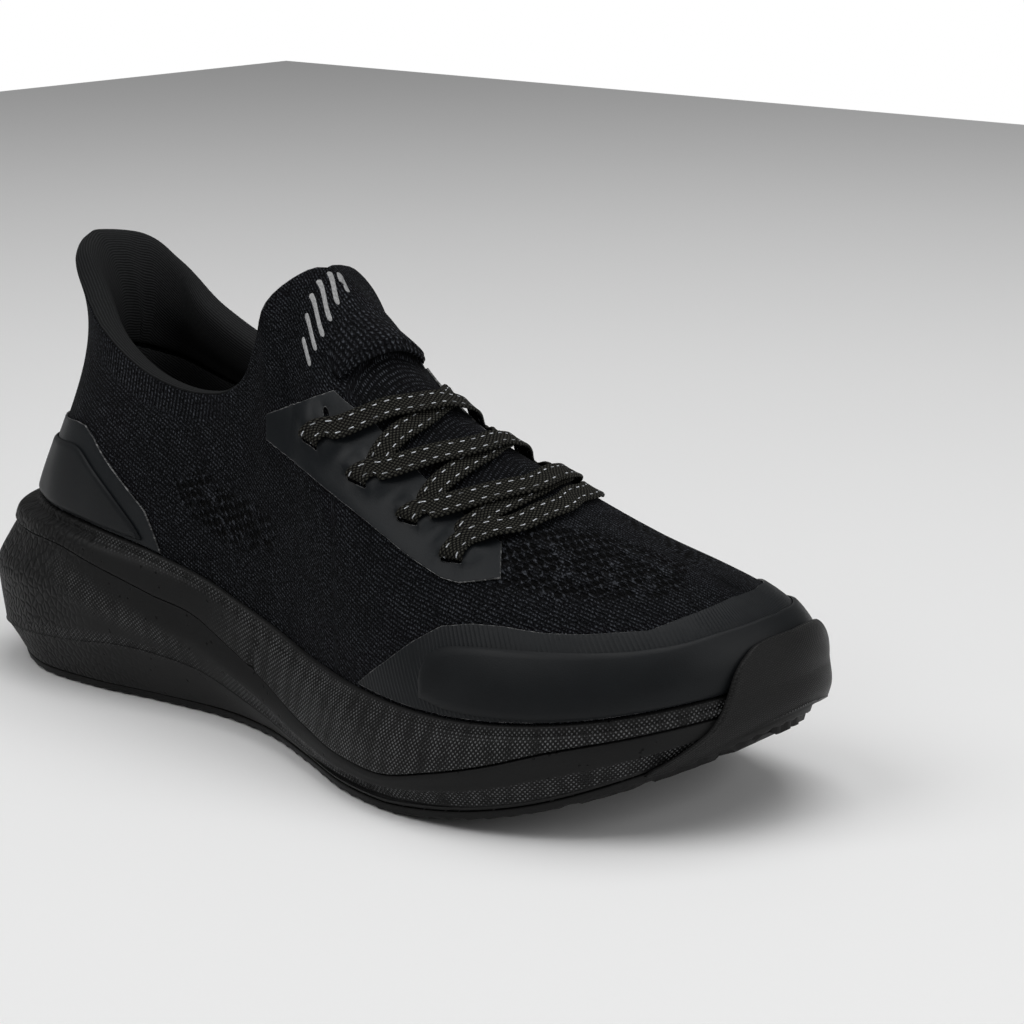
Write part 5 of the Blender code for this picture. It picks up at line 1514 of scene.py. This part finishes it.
def knit_finish():
    f = Finish("knit_finish", (0.012, 0.012, 0.015), 0.85, specular=0.05, sheen=0.01)
    u, v = f.weave()
    holes, throat, rim = f.zone()
    where = f.vector(u, v)
    v = f.madd(f.minus(f.noise(where, 4.0), 0.5), 1.1, v)
    rib = f.wave(v, RIB_PITCH)
    pointed = f.madd(rib, 0.5, u)
    course = f.wave(pointed, COURSE_PITCH)
    stitch = f.times(f.power(rib, 0.8), f.madd(course, 0.7, 0.3))
    crossing = f.times(f.wave(u, 1.5), f.wave(v, 1.0))
    height = f.mix(throat, stitch, crossing)
    upright = f.times(f.wave(u, 1.3), f.madd(f.wave(v, 1.2), 0.5, 0.5))
    height = f.mix(rim, height, upright)
    # Open holes in staggered rows, sunk in the bump and filled with near-black painted shade.
    row = f.over(v, HOLE_ROW)
    odd = f.math("MODULO", f.math("FLOOR", row), 2.0)
    cell = f.math("FRACT", f.madd(odd, 0.5, f.over(u, HOLE_PITCH)))
    x = f.times(f.minus(cell, 0.5), HOLE_PITCH)
    y = f.times(f.minus(f.math("FRACT", row), 0.5), HOLE_ROW)
    away = f.math("SQRT", f.madd(x, x, f.times(y, y)))
    away = f.madd(f.noise(where, 2.0), 1.2, f.minus(away, 0.6))
    uneven = f.times(f.step(f.noise(where, 5.0, 0.0), 0.32, 0.46), holes)
    hole = f.times(f.inverse(f.step(away, 0.9, 1.3)), uneven)
    fleck = f.noise(where, 0.7, 1.0)
    patch = f.noise(where, 9.0)
    # Light flecks of yarn, shown only on raised stitches and stronger the higher they stand, with more in
    # the open zones: partly the yarn's own flecks, partly painted highlight on the stitch tops.
    bright = f.times(f.power(height, 1.6), f.madd(fleck, 6.0, -2.5), clamp=True)
    bright = f.times(bright, f.madd(patch, 1.4, 0.2), clamp=True)
    spark = f.times(f.step(f.noise(where, 1.6, 0.0), 0.66, 0.70), holes)
    bright = f.madd(spark, 0.5, bright)
    colour = f.blend(bright, (0.0016, 0.0017, 0.0023, 1), (0.062, 0.067, 0.078, 1))
    # Painted shade: near-black where the open holes look into the shoe.
    colour = f.blend(hole, colour, (0.0006, 0.0006, 0.0008, 1))
    height = f.minus(height, f.times(hole, 3.2))
    return f.finish(colour, height=height, depth=0.42)


def film_finish(name, level, roughness, blue, ribs):
    f = Finish(name, (level, level, level), roughness, specular=FILM_SPECULAR)
    u, v = f.weave()
    where = f.vector(u, v)
    grain = f.noise(where, 0.45, 3.0, 0.6)
    cloud = f.noise(where, 16.0, 2.0)
    colour = f.blend(f.madd(grain, 0.5, f.times(cloud, 0.5)),
                     grey(level * 0.6, blue), grey(level * 1.45, blue))
    shine = f.madd(cloud, 0.14, roughness - 0.07)
    height = f.times(grain, 0.05)
    if ribs:
        slanted = f.madd(v, 0.55, u)
        line = f.power(f.wave(slanted, 1.5), 2.0)
        faded = f.times(line, f.madd(f.noise(where, 6.0), 1.0, -0.1), clamp=True)
        height = f.madd(faded, ribs, height)
    return f.finish(colour, shine, height)


def cut_edge_highlight_finish():
    """The cut edge of a film: a paler painted highlight, broken up in patches by noise."""
    f = Finish("film_cut_edge_highlight_finish", (0.05, 0.05, 0.055), 0.6)
    u, v = f.weave()
    broken = f.noise(f.vector(u, v), 1.6, 2.0, 0.7)
    # Painted highlight along the cut edge, in patches.
    colour = f.blend(f.step(broken, 0.42, 0.68), grey(0.022, 1.1), grey(0.22, 1.0))
    return f.finish(colour, height=f.times(broken, 0.06))


def foam_finish(name):
    """Foam with twill, pebbles and a faintly pebbled bevel where its zones are painted, with painted
    shade in its hollows and painted glints on its twill.
    """
    f = Finish(name, (0.011, 0.011, 0.012), 0.5, specular=FOAM_SPECULAR)
    u, v = f.weave()
    twill, pebbled, bevel = f.zone()
    where = f.vector(u, v)
    grain = f.noise(where, 0.5, 3.0, 0.6)
    cloud = f.noise(where, 18.0, 2.0)
    hatch = f.times(f.wave(f.plus(u, v), TWILL_PITCH),
                   f.wave(f.minus(u, v), TWILL_PITCH))
    hatch = f.times(hatch, f.madd(f.noise(where, 1.3, 1.0), 1.8, 0.1))
    height = f.madd(f.times(hatch, twill), 0.34, f.times(grain, 0.07))
    edge = f.borders(f.vector(f.over(u, 2.5), f.over(v, 3.1)))
    cushion = f.step(edge, 0.0, 0.30)
    rough = f.math("MAXIMUM", pebbled, f.times(bevel, 0.55))
    height = f.madd(f.times(cushion, rough), 0.5, height)
    dots = f.cells(where, 3.6)
    dot = f.times(f.inverse(f.step(dots, 0.08, 0.15)),
                 f.madd(twill, -0.8, 1.0))
    height = f.madd(dot, -0.25, height)
    tone = f.madd(grain, 0.5, f.times(cloud, 0.5))
    colour = f.blend(tone, grey(0.0068, 1.03), grey(0.0165, 1.02))
    # Painted shade in the sunk gaps between the pebbles.
    sunk = f.times(f.inverse(cushion), rough)
    colour = f.blend(f.times(sunk, 0.75), colour, grey(0.0025))
    # Painted glints: bright flecks on the raised twill, gathered in columns and patches as a painted
    # reflection.
    column = f.wave(f.madd(f.noise(where, 7.0), 6.0, u), 7.0)
    shown = f.madd(column, 0.35, f.noise(where, 12.0))
    glint = f.step(f.times(hatch, shown), 0.24, 0.62)
    colour = f.blend(f.times(glint, twill), colour, grey(0.13, 1.05))
    # Painted shade in the hollows of the twill.
    dark = f.times(f.inverse(f.step(hatch, 0.0, 0.25)), f.times(twill, 0.6))
    colour = f.blend(dark, colour, grey(0.003))
    # Painted shade in the small sunk dots.
    colour = f.blend(f.times(dot, 0.85), colour, grey(0.002))
    shine = f.mix(twill, f.madd(cloud, 0.16, 0.42), f.madd(hatch, -0.14, 0.40))
    return f.finish(colour, shine, height)


def rubber_finish(name):
    f = Finish(name, (0.014, 0.014, 0.014), RUBBER_ROUGHNESS, specular=FOAM_SPECULAR)
    u, v = f.weave()
    edge, _, _ = f.zone()
    where = f.vector(u, v)
    grain = f.noise(where, 0.7, 3.0, 0.6)
    cloud = f.noise(where, 15.0)
    colour = f.blend(f.madd(grain, 0.5, f.times(cloud, 0.5)),
                     grey(0.006), grey(0.012))
    speck = f.times(f.step(f.noise(where, 1.3, 1.0), 0.60, 0.68), edge)
    colour = f.blend(speck, colour, grey(0.16))
    shine = f.madd(cloud, 0.16, RUBBER_ROUGHNESS - 0.08)
    return f.finish(colour, shine, f.times(grain, 0.08))


def bumper_finish():
    """Moulded rubber with a fine slanted grain."""
    f = Finish("toe_bumper_finish", (0.010, 0.010, 0.010), 0.45, specular=FILM_SPECULAR)
    u, v = f.weave()
    where = f.vector(u, v)
    grain = f.noise(where, 0.6, 3.0, 0.6)
    cloud = f.noise(where, 12.0)
    slanted = f.wave(f.madd(v, 0.8, u), 1.2)
    slanted = f.times(slanted, f.wave(f.madd(v, -0.8, u), 1.5))
    # The colour is half random tone and half the grain's ridges painted lighter: painted highlight on the
    # ridges.
    tone = f.madd(slanted, 0.5, f.times(cloud, 0.5))
    height = f.madd(slanted, 0.10, f.times(grain, 0.07))
    return f.finish(f.blend(tone, grey(0.007), grey(0.015)), f.madd(cloud, 0.18, 0.34), height)


def jersey_finish():
    f = Finish("jersey_finish", (0.012, 0.012, 0.013), 0.8, specular=0.08, sheen=0.01)
    u, v = f.weave()
    where = f.vector(u, v)
    wander = f.times(f.noise(where, 6.0), 0.8)
    rib = f.wave(f.plus(v, wander), 0.95)
    loop = f.wave(u, 0.8)
    height = f.times(rib, f.madd(loop, 0.25, 0.75))
    # The ribs' tops painted lighter and their furrows darker, varied by noise: painted highlight and
    # painted shade.
    tone = f.times(height, f.madd(f.noise(where, 1.2), 0.9, 0.25), clamp=True)
    colour = f.blend(tone, grey(0.0060, 1.1), grey(0.026, 1.08))
    return f.finish(colour, height=height, depth=0.14)


def braid_finish():
    """A flat braid with two rows of white stitches, and painted shade between its plaits."""
    f = Finish("braid_finish", (0.03, 0.03, 0.026), 0.7, specular=0.08)
    x, along = f.weave()
    cells, profiles = [], []
    for sign in (1.0, -1.0):
        turn = f.over(f.madd(x, sign, f.times(along, 0.8)), BRAID_PITCH)
        cells.append(f.math("FLOOR", turn))
        profiles.append(f.math("SINE", f.times(f.math("FRACT", turn), np.pi)))
    odd = f.math("MODULO", f.math("ABSOLUTE", f.plus(*cells)), 2.0)
    over = f.times(profiles[0], f.power(profiles[1], 0.4))
    under = f.times(profiles[1], f.power(profiles[0], 0.4))
    height = f.mix(odd, over, under)
    where = f.vector(x, along)
    fuzz = f.noise(where, 0.4, 2.0, 0.7)
    # Colour follows the plaits' height, varied by fuzz: near-black painted shade in the hollows between
    # them, painted highlight on their tops.
    tone = f.times(f.power(height, 2.4), f.madd(fuzz, 2.4, -0.1), clamp=True)
    colour = f.blend(tone, (0.0009, 0.0009, 0.0009, 1), (0.046, 0.045, 0.037, 1))
    side = f.math("GREATER_THAN", x, 0.0)
    turn = f.math("FRACT", f.madd(side, 0.45, f.over(along, FLECK_PITCH)))
    length = f.math("ABSOLUTE", f.minus(turn, 0.5))
    on_length = f.inverse(f.step(length, 0.16, 0.22))
    aside = f.math("ABSOLUTE", x)
    off_row = f.math("ABSOLUTE", f.minus(aside, FLECK_ROW))
    on_row = f.inverse(f.step(off_row, 0.10, 0.24))
    shown = f.madd(f.noise(f.vector(along, side), 4.0, 0.0), 3.0, -0.7, clamp=True)
    fleck = f.times(f.times(on_length, on_row), shown)
    colour = f.blend(fleck, colour, (0.80, 0.83, 0.88, 1))
    height = f.madd(fleck, 0.5, height)
    return f.finish(colour, f.mix(fleck, 0.7, 0.4), height, depth=0.42)


def ink_finish():
    f = Finish("print_finish", (0.3, 0.3, 0.31), 0.5)
    u, v = f.weave()
    where = f.vector(u, v)
    worn = f.noise(where, 0.7, 2.0, 0.7)
    colour = f.blend(f.step(worn, 0.3, 0.7), grey(0.17, 1.02), grey(0.33, 1.02))
    return f.finish(colour, height=f.times(worn, 0.08))


def cloth_finish(name, level):
    """A plain woven cloth, its raised threads painted lighter than its hollows."""
    f = Finish(name, (level, level, level), 0.85, specular=0.2)
    u, v = f.weave()
    height = f.times(f.wave(u, 0.9), f.wave(v, 0.9))
    # Painted shade and highlight from the weave's height, with random tone from noise.
    tone = f.madd(height, 0.6, f.times(f.noise(f.vector(u, v), 4.0), 0.4))
    colour = f.blend(tone, grey(level * 0.55), grey(level * 1.5))
    return f.finish(colour, height=height, depth=0.1)


def sheet_finish(name, colour, roughness):
    """The fibrous or plastic sheets inside, which take their pattern from where they are."""
    f = Finish(name, colour, roughness)
    where = f.object_space()
    fibres = f.noise(where, 0.0012, 4.0, 0.7)
    dark = (*(0.75 * c for c in colour), 1)
    pale = (*(min(1.0, 1.2 * c) for c in colour), 1)
    return f.finish(f.blend(fibres, dark, pale), height=f.times(fibres, 0.1))


# ---------------------------------------------------------------- the studio
def make_floor():
    mesh = bpy.data.meshes.new("floor")
    size = FLOOR_SIZE / 2
    corners = [(-size, -size, 0), (size, -size, 0), (size, size, 0), (-size, size, 0)]
    mesh.from_pydata(corners, [], [(0, 1, 2, 3)])
    floor = bpy.data.objects.new("floor", mesh)
    bpy.context.scene.collection.objects.link(floor)
    f = Finish("floor_finish", (0.86, 0.86, 0.86), 0.6)
    cloud = f.noise(f.object_space(), 0.4)
    mesh.materials.append(f.finish(f.blend(cloud, grey(0.86), grey(0.89))))
    floor.location.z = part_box("outsole")[0][2] - 0.0001


def make_light(name, place_at, target, size, power, tint=(1.0, 1.0, 1.0)):
    light = bpy.data.lights.new(name, "AREA")
    light.shape = "RECTANGLE"
    light.size, light.size_y = size
    light.energy = power
    light.color = tint
    obj = bpy.data.objects.new(name, light)
    obj.location = place_at
    obj.rotation_euler = (Vector(target) - Vector(place_at)).to_track_quat("-Z", "Y").to_euler()
    bpy.context.scene.collection.objects.link(obj)


def make_studio():
    make_floor()
    world = bpy.data.worlds.new("studio")
    world.use_nodes = True
    background = world.node_tree.nodes["Background"]
    background.inputs["Color"].default_value = (1.0, 1.0, 1.0, 1.0)
    mixer = world.node_tree.nodes.new("ShaderNodeMix")
    path = world.node_tree.nodes.new("ShaderNodeLightPath")
    mixer.inputs[2].default_value = WORLD_STRENGTH
    mixer.inputs[3].default_value = BACKDROP_STRENGTH
    world.node_tree.links.new(path.outputs["Is Camera Ray"], mixer.inputs[0])
    world.node_tree.links.new(mixer.outputs[0], background.inputs["Strength"])
    bpy.context.scene.world = world
    bpy.context.scene.view_settings.view_transform = "Standard"
    for row in LIGHTS:
        make_light(*row)


def make_camera():
    azimuth, elevation = np.radians(CAMERA_ANGLES)
    level = np.cos(elevation)
    back = Vector((np.sin(azimuth) * level, -np.cos(azimuth) * level, np.sin(elevation)))
    data = bpy.data.cameras.new("camera")
    data.lens = CAMERA_LENS
    data.sensor_width = 36.0
    data.clip_start = 0.01
    camera = bpy.data.objects.new("camera", data)
    camera.location = place(CAMERA_PLACE)
    camera.rotation_euler = (-back).to_track_quat("-Z", "Y").to_euler()
    bpy.context.scene.collection.objects.link(camera)
    bpy.context.scene.camera = camera


# ---------------------------------------------------------------- the shoe
def main():
    make_camera()
    make_studio()
    knit = knit_finish()
    film, ribbed, guard = (film_finish(*look) for look in FILM_LOOKS)
    cut_edge = cut_edge_highlight_finish()
    jersey = jersey_finish()
    upper_foam = foam_finish("upper_foam_finish")
    lower_foam = foam_finish("lower_foam_finish")
    rubber = rubber_finish("outsole_finish")
    cloth = cloth_finish("sockliner_cloth_finish", 0.010)
    soft = cloth_finish("sockliner_foam_finish", 0.10)

    make_upper_foam(upper_foam, rubber)
    make_lower_foam(lower_foam, rubber)
    make_outsole(rubber)
    make_toe_bumper(bumper_finish())
    make_sockliner(cloth, soft)
    make_knit(knit)
    make_tongue_edge(knit)
    make_films(film, cut_edge, guard, guard, ribbed)
    make_eyestays(film, cut_edge)
    make_collar(jersey)
    make_linings(jersey)
    make_lace(braid_finish())
    make_print(ink_finish())
    for node, finish in (("strobel_board", sheet_finish("board_finish", (0.45, 0.44, 0.42), 0.9)),
                         ("toe_puff", sheet_finish("puff_finish", (0.35, 0.33, 0.30), 0.6)),
                         ("heel_counter", sheet_finish("counter_finish", (0.35, 0.33, 0.30), 0.6))):
        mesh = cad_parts[node].data
        mesh.materials.clear()
        mesh.materials.append(finish)


main()
